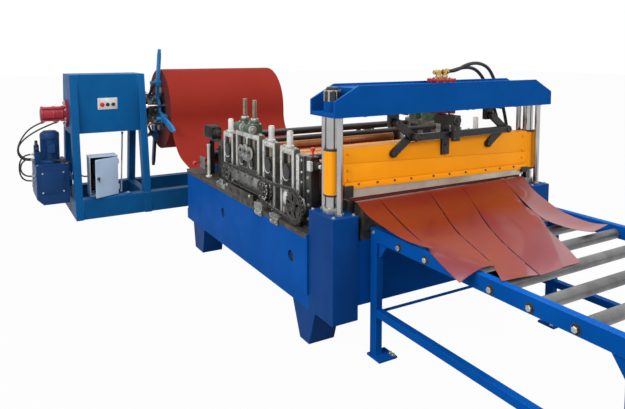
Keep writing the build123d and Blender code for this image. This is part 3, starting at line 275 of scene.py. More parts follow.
# Towards their far end the strips turn muted rose along a wavy border: painted reflection of the sky on the sheet
tree = sheet.node_tree
along = node(tree, "ShaderNodeSeparateXYZ", {0: node(tree, "ShaderNodeTexCoord").outputs["Object"]})
reflection_border_wobble = node(tree, "ShaderNodeTexNoise", {"Scale": 2.5, "Detail": 2.0}).outputs["Fac"]
spread = maths(tree, "MULTIPLY_ADD", reflection_border_wobble, 0.3, along.outputs["X"])
recolour(tree, map_range(tree, spread, 1.86, 2.12), (0.2, 0.038, 0.042))
wound = coil_sheet()

# The CAD's pieces of each finish; the others are the table's rollers, or are replaced further down
node_finishes = {name: material for material, names in (
    (blue, "base_frame table_frame"),
    (column_shaded_blue, "base_legs front_columns"),
    (beam_shaded_blue, "top_beam"),
    (stand_blue, "decoiler_stand"),
    (keeper_blue_shaded, "keeper_arms"),
    (dark_blue, "pump_motor tank"),
    (yellow, "blade_beam"),
    (blade_steel, "upper_blade"),
    (brown_steel, "lower_blade"),
    (plate_steel, "roll_stands"),
    (dark_steel, "bearing_blocks entry_guide drive_sprocket"),
    (screw_steel, "adjusting_screws"),
    (steel, "post_nuts"),
    (chrome, "guide_posts"),
    (black_paint, "link_brackets link_bar cylinder_rod tie_bars mandrel upper_link_near upper_link_far "
                  "lower_link_near lower_link_far"),
    (brass, "cylinder_fittings"),
    (red, "shear_cylinder rotary_cylinder"),
    (wound, "coil strip"),
    (green, "jack_boxes"),
    (grey_paint, "cabinet_body cabinet_door"),
    (sheet_reflection_roll, "pinch_roll_upper feed_roll_upper_1 feed_roll_upper_2 levelling_roll_1 levelling_roll_2"),
    (roll_steel, "pinch_roll_lower feed_roll_lower_1 feed_roll_lower_2 levelling_roll_3"),
) for name in names.split()}
# The pieces whose edges are softened, by width in millimetres
soft_edges = {name: width for width, names in (
    (1, "cabinet_body lower_blade"),
    (2, "blade_beam cabinet_door roll_stands bearing_blocks link_brackets shear_cylinder post_nuts "
        "adjusting_screws"),
    (3, "base_frame top_beam table_frame keeper_arms entry_guide link_bar upper_link_near upper_link_far "
        "lower_link_near lower_link_far cylinder_rod mandrel"),
    (4, "base_legs front_columns rotary_cylinder jack_boxes"),
    (5, "decoiler_stand"),
    (6, "tank"),
) for name in names.split()}
for name, cad_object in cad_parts.items():
    cad_object.data.materials.clear()
    cad_object.data.materials.append(node_finishes.get(name, table_roll))
    if name in soft_edges:
        weld = cad_object.modifiers.new("weld", "WELD")
        weld.merge_threshold = 0.00002
        flatten = cad_object.modifiers.new("flatten", "DECIMATE")
        flatten.decimate_type = "DISSOLVE"
        flatten.angle_limit = radians(0.5)
        bevel = cad_object.modifiers.new("soft_edges", "BEVEL")
        bevel.width = soft_edges[name] / 1000
        bevel.segments = 2
        bevel.limit_method = "ANGLE"
        bevel.angle_limit = radians(40)
        cad_object.modifiers.new("normals", "WEIGHTED_NORMAL")


# Shapes, their sizes in millimetres
UP, DOWN, NEAR, FAR, AHEAD, BACK = (0, 0, 1), (0, 0, -1), (0, -1, 0), (0, 1, 0), (1, 0, 0), (-1, 0, 0)


def soften(bm, corners, edge, segments=2, profile=0.6):
    """Rounds every edge that ends at one of the corners."""
    edges = list({joined for corner in corners for joined in corner.link_edges})
    bmesh.ops.bevel(bm, geom=edges, offset=edge / 1000, segments=segments, profile=profile, affect="EDGES")


def cuboid(bm, middle, size, edge, **bevel):
    """A box with rounded edges, placed by its middle."""
    made = bmesh.ops.create_cube(bm, size=1, matrix=Matrix.LocRotScale(middle, None, mm(*size)))
    soften(bm, made["verts"], edge, **bevel)


def block(bm, x, y, z, edge=2):
    """A box between two limits along each axis, given from the shear."""
    size = [abs(high - low) for low, high in (x, y, z)]
    cuboid(bm, at(*(sum(limits) / 2 for limits in (x, y, z))), size, min(edge, min(size) * 0.3))


def turned(bm, start, direction, profile, sides=28):
    """A turned shape: profile gives (distance along the axis, radius) from end to end."""
    axis = Vector(direction).normalized()
    side = axis.orthogonal().normalized()
    other = axis.cross(side)
    angles = [2 * pi * i / sides for i in range(sides)]
    rings = []
    for along, radius in profile:
        centre = Vector(start) + axis * (along / 1000)
        around = [side * cos(angle) + other * sin(angle) for angle in angles] if radius > 0.01 else [Vector()]
        rings.append([bm.verts.new(centre + out * (radius / 1000)) for out in around])
    for first, second in zip(rings, rings[1:]):
        for i in range(sides):
            j = (i + 1) % sides
            if len(first) == 1:
                bm.faces.new((first[0], second[j], second[i]))
            elif len(second) == 1:
                bm.faces.new((first[i], first[j], second[0]))
            else:
                bm.faces.new((first[i], first[j], second[j], second[i]))
    for ring in (rings[0][::-1], rings[-1]):
        if len(ring) > 1:
            bm.faces.new(ring)


def prism(bm, outline, depth, edge=1):
    """A flat outline of points, given a depth, its edges rounded."""
    low = [bm.verts.new(point) for point in outline]
    high = [bm.verts.new(point + mm(*depth)) for point in outline]
    bm.faces.new(low[::-1])
    bm.faces.new(high)
    for i in range(len(low)):
        j = (i + 1) % len(low)
        bm.faces.new((low[i], low[j], high[j], high[i]))
    soften(bm, low + high, edge)


def add(name, data):
    """A new object in the scene."""
    made = bpy.data.objects.new(name, data)
    bpy.context.scene.collection.objects.link(made)
    return made


def mounted(name, mesh, body, stands_for):
    """A finished piece that rides on a body."""
    made = add(name, mesh)
    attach(made, body)
    if stands_for:
        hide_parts(*stands_for)


def closed_mesh(name, bm, smooth=35):
    """The mesh of a shape, its faces outward and its edges sharp past an angle."""
    bmesh.ops.recalc_face_normals(bm, faces=bm.faces)
    mesh = bpy.data.meshes.new(name)
    bm.to_mesh(mesh)
    bm.free()
    mesh.shade_smooth()
    mesh.set_sharp_from_angle(angle=radians(smooth))
    return mesh


def make(name, bm, material, body="root", stands_for=(), smooth=35):
    """A piece made of one mesh."""
    mesh = closed_mesh(name, bm, smooth)
    mesh.materials.append(material)
    mounted(name, mesh, body, stands_for)


def repeat(name, pattern, places, material, body="root", stands_for=()):
    """Copies of one small shape at (point, rotation, size), made by Geometry Nodes."""
    source = add(name + "_pattern", closed_mesh(name + "_pattern", pattern))
    points = bpy.data.meshes.new(name + "_points")
    points.from_pydata([tuple(point) for point, turn, size in places], [], [])
    points.attributes.new("turn", "FLOAT_VECTOR", "POINT")
    points.attributes.new("size", "FLOAT", "POINT")
    for i, (point, turn, size) in enumerate(places):
        points.attributes["turn"].data[i].vector = tuple(turn.to_euler())
        points.attributes["size"].data[i].value = size
    holder = add(name + "_holder", points)
    tree = bpy.data.node_groups.new(name, "GeometryNodeTree")
    for way in ("INPUT", "OUTPUT"):
        tree.interface.new_socket("Geometry", in_out=way, socket_type="NodeSocketGeometry")
    turn = node(tree, "GeometryNodeInputNamedAttribute", {"Name": "turn"}, data_type="FLOAT_VECTOR")
    size = node(tree, "GeometryNodeInputNamedAttribute", {"Name": "size"}, data_type="FLOAT")
    shape = node(tree, "GeometryNodeObjectInfo", {"Object": source}).outputs["Geometry"]
    copies = node(tree, "GeometryNodeInstanceOnPoints",
        {"Points": tree.nodes.new("NodeGroupInput").outputs["Geometry"], "Instance": shape,
        "Rotation": turn.outputs["Attribute"], "Scale": size.outputs["Attribute"]}).outputs["Instances"]
    real = node(tree, "GeometryNodeRealizeInstances", {"Geometry": copies}).outputs["Geometry"]
    dressed = node(tree, "GeometryNodeSetMaterial", {"Geometry": real, "Material": material}).outputs["Geometry"]
    node(tree, "NodeGroupOutput", {"Geometry": dressed})
    holder.modifiers.new("copies", "NODES").node_group = tree
    mesh = bpy.data.meshes.new_from_object(holder.evaluated_get(bpy.context.evaluated_depsgraph_get()))
    mesh.name = name
    bpy.data.objects.remove(holder)
    bpy.data.objects.remove(source)
    bpy.data.node_groups.remove(tree)
    mounted(name, mesh, body, stands_for)


def facing(direction, turn=0):
    """The rotation that turns a shape made along +Z to a direction."""
    return Vector(UP).rotation_difference(Vector(direction)) @ Euler((0, 0, turn)).to_quaternion()


def circle(count, radius, first=0.0):
    """Points round a circle, from a first angle on."""
    angles = [first + 2 * pi * i / count for i in range(count)]
    return [(radius * cos(angle), radius * sin(angle)) for angle in angles]


def hex_bolt():
    """A hexagon bolt head on its washer, 1 m across the washer, standing on Z = 0."""
    bm = bmesh.new()
    turned(bm, (0, 0, 0), UP, ((0, 500), (60, 500), (80, 480)), 16)
    turned(bm, (0, 0, 0.08), UP, ((0, 400), (240, 400), (300, 340)), 6)
    turned(bm, (0, 0, 0.3), UP, ((0, 180), (120, 170)), 12)
    return bm


def bolts(name, places, material, body="root"):
    """Hexagon bolts at (x, y, z, direction, washer diameter)."""
    spots = [(at(x, y, z), facing(direction, 0.7 * i), size / 1000)
        for i, (x, y, z, direction, size) in enumerate(places)]
    repeat(name, hex_bolt(), spots, material, body)


# Hoses and the motor's cable, through the same points as in the CAD
def hose(name, points, diameter):
    """A hose or cable through its points, its length and diameter in metres."""
    curve = bpy.data.curves.new(name + "_line", "CURVE")
    curve.dimensions = "3D"
    curve.bevel_depth = diameter / 2
    curve.bevel_resolution = 5
    spline = curve.splines.new("NURBS")
    spline.points.add(len(points) - 1)
    for spot, point in zip(spline.points, points):
        spot.co = (*at(*point), 1)
    spline.order_u = 3
    spline.use_endpoint_u = True
    spline.resolution_u = 10
    curve.materials.append(rubber)
    made = add(name + "_line", curve)
    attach(made, "root")
    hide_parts(name)


hose("shear_hose_1", ((-127, 45, 1541), (-127, 112, 1541), (-145, 225, 1582), (-180, 360, 1590), (-228, 500, 1556),
    (-285, 612, 1482), (-302, 688, 1380), (-294, 736, 1240), (-292, 768, 1100), (-298, 776, 960), (-312, 776, 830),
    (-330, 770, 735), (-330, 770, 670)), 0.022)
hose("shear_hose_2", ((-154, 10, 1535), (-154, 80, 1535), (-174, 200, 1560), (-210, 330, 1560), (-262, 455, 1522),
    (-300, 560, 1440), (-320, 634, 1335), (-322, 690, 1215), (-320, 722, 1090), (-324, 737, 960), (-338, 740, 830),
    (-360, 735, 735), (-360, 735, 670)), 0.022)
hose("decoiler_hose_1", ((-3945, -1859, 941), (-3945, -1914.2, 920.3), (-3949, -1988, 868), (-3953, -2044, 790),
    (-3957, -2078, 708), (-3957, -2080, 643), (-3956, -2049, 591), (-3955, -1998, 568), (-3955, -1955, 568)),
    0.015)
hose("decoiler_hose_2", ((-3895, -1736, 941), (-3895, -1803.2, 915.8), (-3891, -1888, 880), (-3887, -1975, 832),
    (-3888, -2046, 772), (-3890, -2080, 712), (-3892, -2074, 657), (-3894, -2043, 613), (-3895, -1999, 591),
    (-3895, -1955, 591)), 0.015)
hose("decoiler_hose_3", ((-3920, -1955, 632), (-3920, -2003, 632), (-3922, -2048, 604), (-3923, -2070, 550),
    (-3923, -2074, 485), (-3922, -2064, 425), (-3921, -2038, 385), (-3920, -1997, 364), (-3920, -1955, 364)),
    0.015)
hose("decoiler_hose_4", ((-3860, -1955, 600), (-3860, -2005, 600), (-3862, -2051.9, 565.9), (-3863, -2069.8, 510.7),
    (-3862, -2051.9, 455.5), (-3860, -2005, 421.4), (-3860, -1955, 421.4)), 0.015)
hose("motor_cable", ((-3756, -1795, 648), (-3756, -1795, 606), (-3752, -1778, 587), (-3743, -1740, 576),
    (-3733, -1690, 572), (-3720, -1632, 562), (-3708, -1582, 522), (-3698, -1554, 470), (-3692, -1541, 427),
    (-3690, -1512, 400), (-3690, -1474, 400)), 0.014)


# Chains: link plates and rollers round each pair of sprockets
def chain_places(rear, front, rear_teeth, front_teeth):
    """Places of the chain's joints, one pitch apart round the loop."""
    rear_radius = chain_pitch / (2 * sin(pi / rear_teeth))
    front_radius = chain_pitch / (2 * sin(pi / front_teeth))
    across, up = front[0] - rear[0], front[1] - rear[1]
    distance = hypot(across, up)
    lean = atan2(up, across)
    spread = acos((rear_radius - front_radius) / distance)
    run = distance * sin(spread)
    parts = (("run", rear, rear_radius, front_radius, lean + spread, run),
             ("arc", front, front_radius, front_radius, lean + spread, 2 * spread * front_radius),
             ("back", rear, rear_radius, front_radius, lean - spread, run),
             ("arc", rear, rear_radius, rear_radius, lean - spread, 2 * (pi - spread) * rear_radius))
    total = sum(part[5] for part in parts)
    count = 2 * round(total / chain_pitch / 2)
    places = []
    for i in range(count):
        along = i * total / count
        for kind, centre, first, second, angle, length in parts:
            if along <= length:
                break
            along -= length
        if kind == "arc":
            angle -= along / first
            spot = (centre[0] + first * cos(angle), centre[1] + first * sin(angle))
        else:
            part = along / length if kind == "run" else 1 - along / length
            start = (rear[0] + rear_radius * cos(angle), rear[1] + rear_radius * sin(angle))
            end = (front[0] + front_radius * cos(angle), front[1] + front_radius * sin(angle))
            spot = (start[0] + (end[0] - start[0]) * part, start[1] + (end[1] - start[1]) * part)
        places.append(spot)
    return places


def link_plates(offset):
    """Two waisted plates, one pitch long, either side of the chain's middle."""
    bm = bmesh.new()
    end_radius, plate = 8.8, 2.4
    for y in (-offset - plate / 2, offset - plate / 2):
        outline = []
        for i in range(24):
            angle = 2 * pi * i / 24
            x = (chain_pitch if cos(angle) > 0 else -chain_pitch) / 2 + end_radius * cos(angle)
            waist = 1 - 0.22 * max(0.0, 1 - abs(x) / 9)
            outline.append(mm(x, y, end_radius * sin(angle) * waist))
        prism(bm, outline, (0, plate, 0), edge=0.5)
    return bm


def chain_roller():
    """A roller with the two ends of its pin, lying along Y."""
    bm = bmesh.new()
    turned(bm, mm(0, -7.4, 0), FAR, ((0, 3.6), (0.6, 4), (2.8, 4), (3, 7.8), (11.8, 7.8), (12, 4), (14.2, 4),
        (14.8, 3.6)), sides=14)
    return bm


joints_outer, joints_inner, rollers = [], [], []
for y, loop in ((-822, chain_places((pinch_places[0], shaft_z), (pinch_places[1], shaft_z), 16, 16)),
        (-846, chain_places((pinch_places[1], shaft_z), (drive_x, drive_z), 16, 24))):
    for i, spot in enumerate(loop):
        after = loop[(i + 1) % len(loop)]
        turn = Euler((0, -atan2(after[1] - spot[1], after[0] - spot[0]), 0)).to_quaternion()
        middle = at((spot[0] + after[0]) / 2, y, (spot[1] + after[1]) / 2)
        (joints_outer if i % 2 else joints_inner).append((middle, turn, 1.0))
        rollers.append((at(spot[0], y, spot[1]), turn, 1.0))
repeat("chain_outer_plates", link_plates(7.2), joints_outer, dark_steel,
    stands_for=("drive_chains",))
repeat("chain_inner_plates", link_plates(4.8), joints_inner, dark_steel)
repeat("chain_rollers", chain_roller(), rollers, steel)

# The coated strips past the shear, curved between their sections
# Of each strip: where it starts across the machine, then its sections past the blade, as x and three (y, z)
slit_sections = (
    ((-660, -585, -511),
     (60, (-661, 792), (-588, 792), (-521, 792)),
     (300, (-650, 747), (-610, 747), (-569, 747)),
     (430, (-622, 735), (-605, 735), (-588, 735)),
     (500, (-600, 738), (-596, 738), (-592, 738))),
    ((-508, -330, -153),
     (60, (-510, 790), (-340, 786), (-181, 786)),
     (300, (-556, 742), (-420, 735), (-287, 733)),
     (420, (-580, 727), (-460, 724), (-336, 722)),
     (520, (-628, 718), (-500, 723), (-379, 720)),
     (688, (-682, 700), (-560, 726), (-456, 720)),
     (775, (-705, 690), (-590, 727), (-498, 724))),
    ((-150, -20, 107),
     (60, (-172, 786), (-50, 786), (76, 786)),
     (300, (-277, 731), (-165, 728), (-52, 724)),
     (520, (-369, 716), (-270, 707), (-169, 702)),
     (688, (-446, 715), (-350, 704), (-257, 700)),
     (816, (-530, 716), (-430, 706), (-325, 700)),
     (900, (-594, 717), (-480, 712), (-366, 700))),
    ((110, 220, 327),
     (60, (80, 786), (200, 790), (330, 797)),
     (300, (-46, 728), (120, 744), (310, 752)),
     (472, (-138, 706), (30, 722), (200, 742)),
     (689, (-251, 700), (-130, 710), (-3, 726)),
     (905, (-362, 700), (-290, 701), (-215, 705))),
    ((330, 400, 467),
     (60, (306, 790), (380, 788), (446, 784)),
     (300, (186, 734), (250, 728), (330, 722)),
     (472, (94, 708), (160, 706), (225, 704)),
     (689, (-30, 702), (25, 701), (80, 700)),
     (891, (-205, 699), (-140, 699), (-72, 699))),
    ((470, 565, 660),
     (60, (450, 786), (540, 780), (630, 776)),
     (300, (336, 738), (420, 732), (520, 740)),
     (440, (284, 724), (370, 722), (470, 730)),
     (600, (284, 720), (360, 722), (430, 734)),
     (704, (290, 734), (350, 742), (415, 754))),
)


def eased(before, start, end, after, t):
    """A point between start and end on a curve that also heeds their neighbours."""
    return [0.5 * (2 * b + (c - a) * t + (2 * a - 5 * b + 4 * c - d) * t * t + (3 * b - a - 3 * c + d) * t ** 3)
        for a, b, c, d in zip(before, start, end, after)]


def curved_sheet(bm, sections, thickness=2, steps=7, cross_steps=10):
    """A thin sheet through sections of three points each."""
    rows = []
    stations = [[(x, y, z) for y, z in places] for x, *places in sections]
    for i in range(len(stations) - 1):
        around = [stations[max(i - 1, 0)], stations[i], stations[i + 1], stations[min(i + 2, len(stations) - 1)]]
        if i < 2:
            around = [stations[i], stations[i], stations[i + 1], stations[i + 1 if i == 0 else i + 2]]
        for step in range(steps if i < len(stations) - 2 else steps + 1):
            t = step / steps
            row = []
            for lane in range(3):
                if i == 0:
                    point = [a + (b - a) * t for a, b in zip(around[1][lane], around[2][lane])]
                else:
                    point = eased(*(station[lane] for station in around), t)
                row.append(point)
            rows.append(row)
    grids = ([], [])
    for left, middle, right in rows:
        for level, grid in ((thickness / 2, grids[0]), (-thickness / 2, grids[1])):
            line = []
            for j in range(cross_steps + 1):
                t = j / cross_steps
                bend = 2 * t * (1 - t)
                control = [2 * m - (a + b) / 2 for a, m, b in zip(left, middle, right)]
                x, y, z = ((1 - t) ** 2 * a + bend * c + t * t * b for a, c, b in zip(left, control, right))
                line.append(bm.verts.new(at(x, y, z + level)))
            grid.append(line)
    top, under = grids
    for i in range(len(top) - 1):
        for j in range(cross_steps):
            bm.faces.new((top[i][j], top[i + 1][j], top[i + 1][j + 1], top[i][j + 1]))
            bm.faces.new((under[i][j], under[i][j + 1], under[i + 1][j + 1], under[i + 1][j]))
        for j in (0, cross_steps):
            bm.faces.new((top[i][j], under[i][j], under[i + 1][j], top[i + 1][j]))
    for i in (0, len(top) - 1):
        for j in range(cross_steps):
            bm.faces.new((top[i][j], top[i][j + 1], under[i][j + 1], under[i][j]))


bm = bmesh.new()
for starts, *sections in slit_sections:
    curved_sheet(bm, [(x, *((y, slit_z) for y in starts)) for x in (-79, -54)] + sections)
make("coated_strips", bm, sheet, stands_for=("slit_strips",), smooth=60)

# Shear: nuts, collars, seams of the blade beam, pivots and bolts
bm = bmesh.new()
for side in (-1, 1):
    spot = at(post_x, side * post_y, 1394)
    turned(bm, spot, UP, ((0, 40), (2, 49), (52, 49), (60, 41), (64, 41)), sides=6)
    turned(bm, spot, UP, ((60, 33), (72, 33), (78, 27), (79, 0)))
    for dx in (-77, 77):
        spot = at(post_x + dx, side * post_y, 1309)
        turned(bm, spot, UP, ((0, 19), (2, 24), (5.5, 24)))
make("post_caps", bm, black_paint)

bm = bmesh.new()
for side in (-1, 1):
    for z in (878.5, 1126.5):
        turned(bm, at(post_x, side * post_y, z), UP, ((0, 34.5), (0, 45.5), (2, 47.5), (10, 47.5), (12, 45.5),
            (12, 34.5)))
make("sleeve_wipers", bm, black_paint, "blade")


def seam(y, near, far):
    """Height on a line that slopes across the blade beam."""
    return near + (far - near) * (y + 713) / 1426


bm = bmesh.new()
for low, high, x in (((1052.5, 1000.5), (1133.5, 1133.5), -100), ((948.5, 920), (1049.5, 997.5), -100),
        ((913.5, 885), (945.5, 917), -85)):
    outline = [at(x, -722, seam(-722, *low)), at(x, 722, seam(722, *low)), at(x, 722, seam(722, *high)),
        at(x, -722, seam(-722, *high))]
    prism(bm, outline, (4 if x < -90 else 6, 0, 0), edge=1.2)
make("blade_beam_plates", bm, yellow, "blade")
bolts("blade_bolts", [(-79.2, y, seam(y, 937, 908), AHEAD, 14) for y in (-632, -505, -384, -263, -94, 33, 166, 338,
    464, 593)], dark_steel, "blade")
bolts("beam_end_bolts", [(-96.2, side * 690, z, AHEAD, 22) for side in (-1, 1) for z in (1105, 1015, 965)], yellow,
    "blade")

for name, body, pivots in (("bracket_caps", "root", [(-47, y, 1262) for y in (-390, 360)]),
        ("knee_caps", "linkage_bar", [(-25, y, 1172) for y in (-270, 480)]),
        ("lower_caps", "blade", [(-73, y, 1082) for y in (-390, 360)])):
    bm = bmesh.new()
    for x, y, z in pivots:
        turned(bm, at(x - 1, y, z), AHEAD, ((0, 20), (5, 20), (8, 17), (8, 9), (5, 8), (5, 0)))
    make(name, bm, black_paint, body)
bm = bmesh.new()
block(bm, (-100, -66), (-731, -673), (868, 932.5), 3)
block(bm, (-100, -70), (662, 720), (868, 901), 3)
make("blade_end_brackets", bm, black_paint, "blade")
bm = bmesh.new()
block(bm, (-26, -18), (-245, 455), (1183, 1189), 2)
block(bm, (-26, -18), (-245, 455), (1155, 1161), 2)
make("bar_flanges", bm, black_paint, "linkage_bar")
bm = bmesh.new()
turned(bm, at(8, 0, 1258), AHEAD, ((-2, 30), (6, 30), (12, 25), (12, 14), (20, 13), (20, 0)), sides=24)
block(bm, (7, 13), (-26, 26), (1140, 1220), 3)
make("clevis_cover", bm, black_paint, "blade")
bolts("clevis_bolts", [(12, y, z, AHEAD, 16) for y in (-16, 16) for z in (1152, 1207)] +
    [(-81, 0, z, AHEAD, 22) for z in (1062, 1102)], dark_steel, "blade")
bolts("bracket_bolts", [(x, pivot + dy, 1315.5, DOWN, 30) for pivot in (-390, 360) for dy in (-52, 52)
    for x in (-60, -35)] + [(-70, y, 1315.5, DOWN, 28) for y in (-160, 160, 210, -600, 580)], dark_steel)

bm = bmesh.new()
for z in (1303, 1488):
    turned(bm, at(post_x, 0, z - 7.5), UP, ((0, 60.6), (0, 74), (2, 76), (14, 76), (16, 74), (16, 60.6)), sides=48)
make("cylinder_flanges", bm, red)
bm = bmesh.new()
turned(bm, mm(0, 0, -11), UP, ((0, 9), (2, 11), (20, 11), (22, 9)), sides=10)
lugs = [(at(post_x + dx, y, z), facing(UP), 1.0) for dx, y in circle(12, 76) for z in (1302, 1488.5)]
repeat("flange_lugs", bm, lugs, red)
bolts("flange_bolts", [(post_x + dx, y, 1498.5, UP, 15) for dx, y in circle(8, 50, pi / 8)], dark_steel)
bm = bmesh.new()
for x, y, z, along in ((post_x, -24, 1503, UP), (post_x, 24, 1503, UP), (post_x, 34, 1541, FAR),
        (post_x - 27, -14, 1535, FAR)):
    turned(bm, at(x, y, z), along, ((0, 17.5), (2, 19.5), (11, 19.5), (13, 17.5)), sides=6)
for x, y, z in ((-330, 770, 640.5), (-360, 735, 640.5)):
    turned(bm, at(x, y, z), UP, ((0, 21), (2, 23), (10, 23), (12, 20)), sides=6)
make("union_nuts", bm, brass)

# Base: brown deck strip, edge plate with its slots drawn as dark blocks of painted shade, bolts
bm = bmesh.new()
block(bm, (-2388, -262), (-861.5, -640), (deck_z, 641.8), 0.6)
block(bm, (-2338, -262), (-865.5, -862.2), (615, 641.5), 1)
block(bm, (-2388, -262), (640, 861.5), (deck_z, 641.8), 0.6)
block(bm, (-1460, -970), (-867, -859), (641, 708), 2)
make("deck_strips", bm, brown_steel)
# Dark blocks on the edge plate: painted shade of its slots
bm = bmesh.new()
for x in (-1360, -1214, -1085):
    block(bm, (x - 20, x + 20), (-868.5, -866), (664, 684), 0.9)
make("edge_slots", bm, shade_and_black)
bm = bmesh.new()
for x, top in ((-874, 680), (-645, 662)):
    block(bm, (x - 60, x + 60), (-876, -810), (641, top), 3)
    block(bm, (x - 50, x + 50), (-876, -862.5), (603, 643), 3)
    block(bm, (x - 30, x + 30), (-868, -826), (top - 2, top + 6), 2)
block(bm, (-1655, -1485), (-863, -836), (641, 674), 3)
block(bm, (-1600, -1530), (-860, -838), (672, 704), 3)
make("edge_clamps", bm, plate_steel)
bolts("edge_bolts", [(x + dx, -876, z, NEAR, 18) for x, z in ((-874, 622), (-645, 620)) for dx in (-32, 32)] +
    [(x, -868, 695, NEAR, 22) for x in (-1415, -1015)] + [(x, -849, 674, UP, 20) for x in (-1640, -1500)], steel)
bolts("column_bolts", [(x, side * y, 785, UP, 22) for side in (-1, 1) for x, y in ((-235, 832), (-235, 705),
    (-20, 832), (-20, 705))], steel)
bolts("foot_bolts", [(x, side * y, 12, UP, 30) for side in (-1, 1) for x in (-303, -2108) for y in (720, 790)], steel)

# Painted shade: dark discs in the base's lifting holes and dark plates behind the stand windows
bm = bmesh.new()
for side in (-1, 1):
    for x in (-1524, -447):
        turned(bm, at(x, side * 849.5, 460), (0, -side, 0), ((0, 50), (3, 50)), sides=20)
    for x, top in [*zip(pinch_places, stand_tops), *((x, 1100) for x in levelling_places)]:
        half, low = (52.5, 980) if x in pinch_places else (48.5, 958)
        block(bm, (x - half, x + half), (side * 760.2, side * 761.8), (low, top - 41), 0.4)
make("dark_backs", bm, shade_and_black)

frames, panels = bmesh.new(), bmesh.new()
for side in (-1, 1):
    skin = (side * 799.5, side * 804.5)
    inner = (side * 799.5, side * 802.5)
    for x, top, width, low in [*((x, top, 88, 660) for x, top in zip(pinch_places, stand_tops)),
            (-1202, 1100, 196, 830)]:
        for way in (-1, 1):
            block(frames, (x + way * (width - 24), x + way * width), skin, (low, top - 4), 1.5)
        block(frames, (x - width + 26, x + width - 26), skin, (top - 34, top - 4), 1.5)
        for i in range(5 if width > 100 else 2):
            spot = x + (i - (2 if width > 100 else 0.5)) * 74
            turned(frames, at(spot, side * 804, top - 19), (0, side, 0), ((0, 9), (6, 9), (7, 7)), sides=6)
    for x in pinch_places:
        block(panels, (x - 58, x + 58), inner, (830, 862), 1)
        block(frames, (x - 50, x - 36), skin, (660, 700 if side < 0 else 830), 1.5)
        block(frames, (x + 12, x + 28), skin, (660, 700 if side < 0 else 830), 1.5)
    block(frames, (-1224, -1180), skin, (965, 1066), 1.5)
    for x in levelling_places:
        for way in (-1, 1):
            block(panels, (x + way * 56, x + way * 70), skin, (860, 1060), 1.5)
    block(frames, (-484, -448), skin, (660, 1050), 2)
    block(panels, (-440, -402), skin, (660, 1050), 2)
make("stand_frames", frames, pale_steel)
make("stand_panels", panels, dark_steel)

# Leveller: sprocket faces, bearing caps, guards, screws' sleeves, castings
for name, body, x, y in (("rear_sprocket_face", "pinch_roll_lower_body", pinch_places[0], -826.2),
        ("feed_sprocket_face", "feed_roll_lower_1_body", pinch_places[1], -850.2)):
    bm = bmesh.new()
    turned(bm, at(x, y, shaft_z), NEAR, ((0, 52), (3, 52), (3.5, 49), (3.5, 36), (9, 35), (10.5, 33), (10.5, 12),
        (8, 10), (8, 0)), sides=36)
    make(name, bm, dark_steel, body)
    bolts(name + "_bolts", [(x + dx, y - 3.5, shaft_z + dz, NEAR, 11) for dx, dz in circle(6, 43)], steel, body)
bm = bmesh.new()
turned(bm, at(drive_x, -849.5, drive_z), NEAR, ((0, 74), (0, 85.5), (6, 85.5), (8, 83), (8, 76), (6, 74)), sides=48)
turned(bm, at(drive_x, -849.5, drive_z), NEAR, ((0, 36), (10, 36), (13, 32), (13, 14), (10, 12), (10, 0)), sides=32)
hub = at(drive_x, -849.5, drive_z)
for x, z in circle(5, 1, 0.3):
    out, across = mm(x, 0, z), mm(-z, 0, x)
    prism(bm, [hub + out * 30 + across * 11, hub + out * 78 + across * 7, hub + out * 78 - across * 7,
        hub + out * 30 - across * 11], (0, -6, 0), 1)
make("drive_sprocket_spokes", bm, dark_steel, "drive_sprocket_body")

caps, dark_caps = bmesh.new(), bmesh.new()
cap_places = [(x, 917.3, 46) for x in pinch_places] + [(x, 887.3, 31) for x in levelling_places]
for side in (-1, 1):
    for x, z, radius in cap_places:
        turned(caps, at(x, side * 805.8, z), (0, side, 0), ((0, radius), (6, radius), (9, radius - 4),
            (9, radius - 10), (4, radius - 12)))
        turned(dark_caps, at(x + 10, side * 806.2, z + 9), (0, side, 0), ((0, radius - 2), (9.5, radius - 2),
            (13, radius - 14), (14, 0)))
for x in pinch_places:
    turned(caps, at(x, stand_face, shaft_z), FAR, ((0, 44), (12, 44), (15, 40), (15, 20), (12, 18), (12, 0)))
    turned(caps, at(x, -stand_face, shaft_z), NEAR, ((0, 26), (0, 43), (10, 43), (12, 40), (12, 26)))
turned(caps, at(drive_x, -stand_face, drive_z), NEAR, ((0, 26), (0, 60), (12, 58), (20, 45), (36, 42), (36, 26)),
    sides=36)
make("bearing_rims", caps, pale_steel)
make("bearing_centres", dark_caps, black_paint)

bm = bmesh.new()
block(bm, (-1470, -945), (-813.5, -800.5), (724, 806), 3)
for i in range(3):
    guard_x = -1285 + 76 * i
    turned(bm, at(guard_x, -808.5, 972 - 12 * abs(i - 1)), NEAR, ((0, 46), (6, 46), (8, 43), (8, 0)), sides=32)
block(bm, (-1310, -1110), (-815.5, -808.5), (900, 965), 3)
block(bm, (-2165, -2055), (-812, -800), (690, 785), 3)
make("chain_guard_plates", bm, plate_steel)
bolts("guard_bolts", [(-1450 + 120 * i, -813.5, z, NEAR, 17) for i in range(5) for z in (735, 795)] +
    [(-1285 + 76 * i, -816.5, 968, NEAR, 24) for i in range(3)] + [(x, side * 806, z, (0, side, 0), 18)
    for side in (-1, 1) for x in pinch_places for z in (875, 968)], dark_steel)

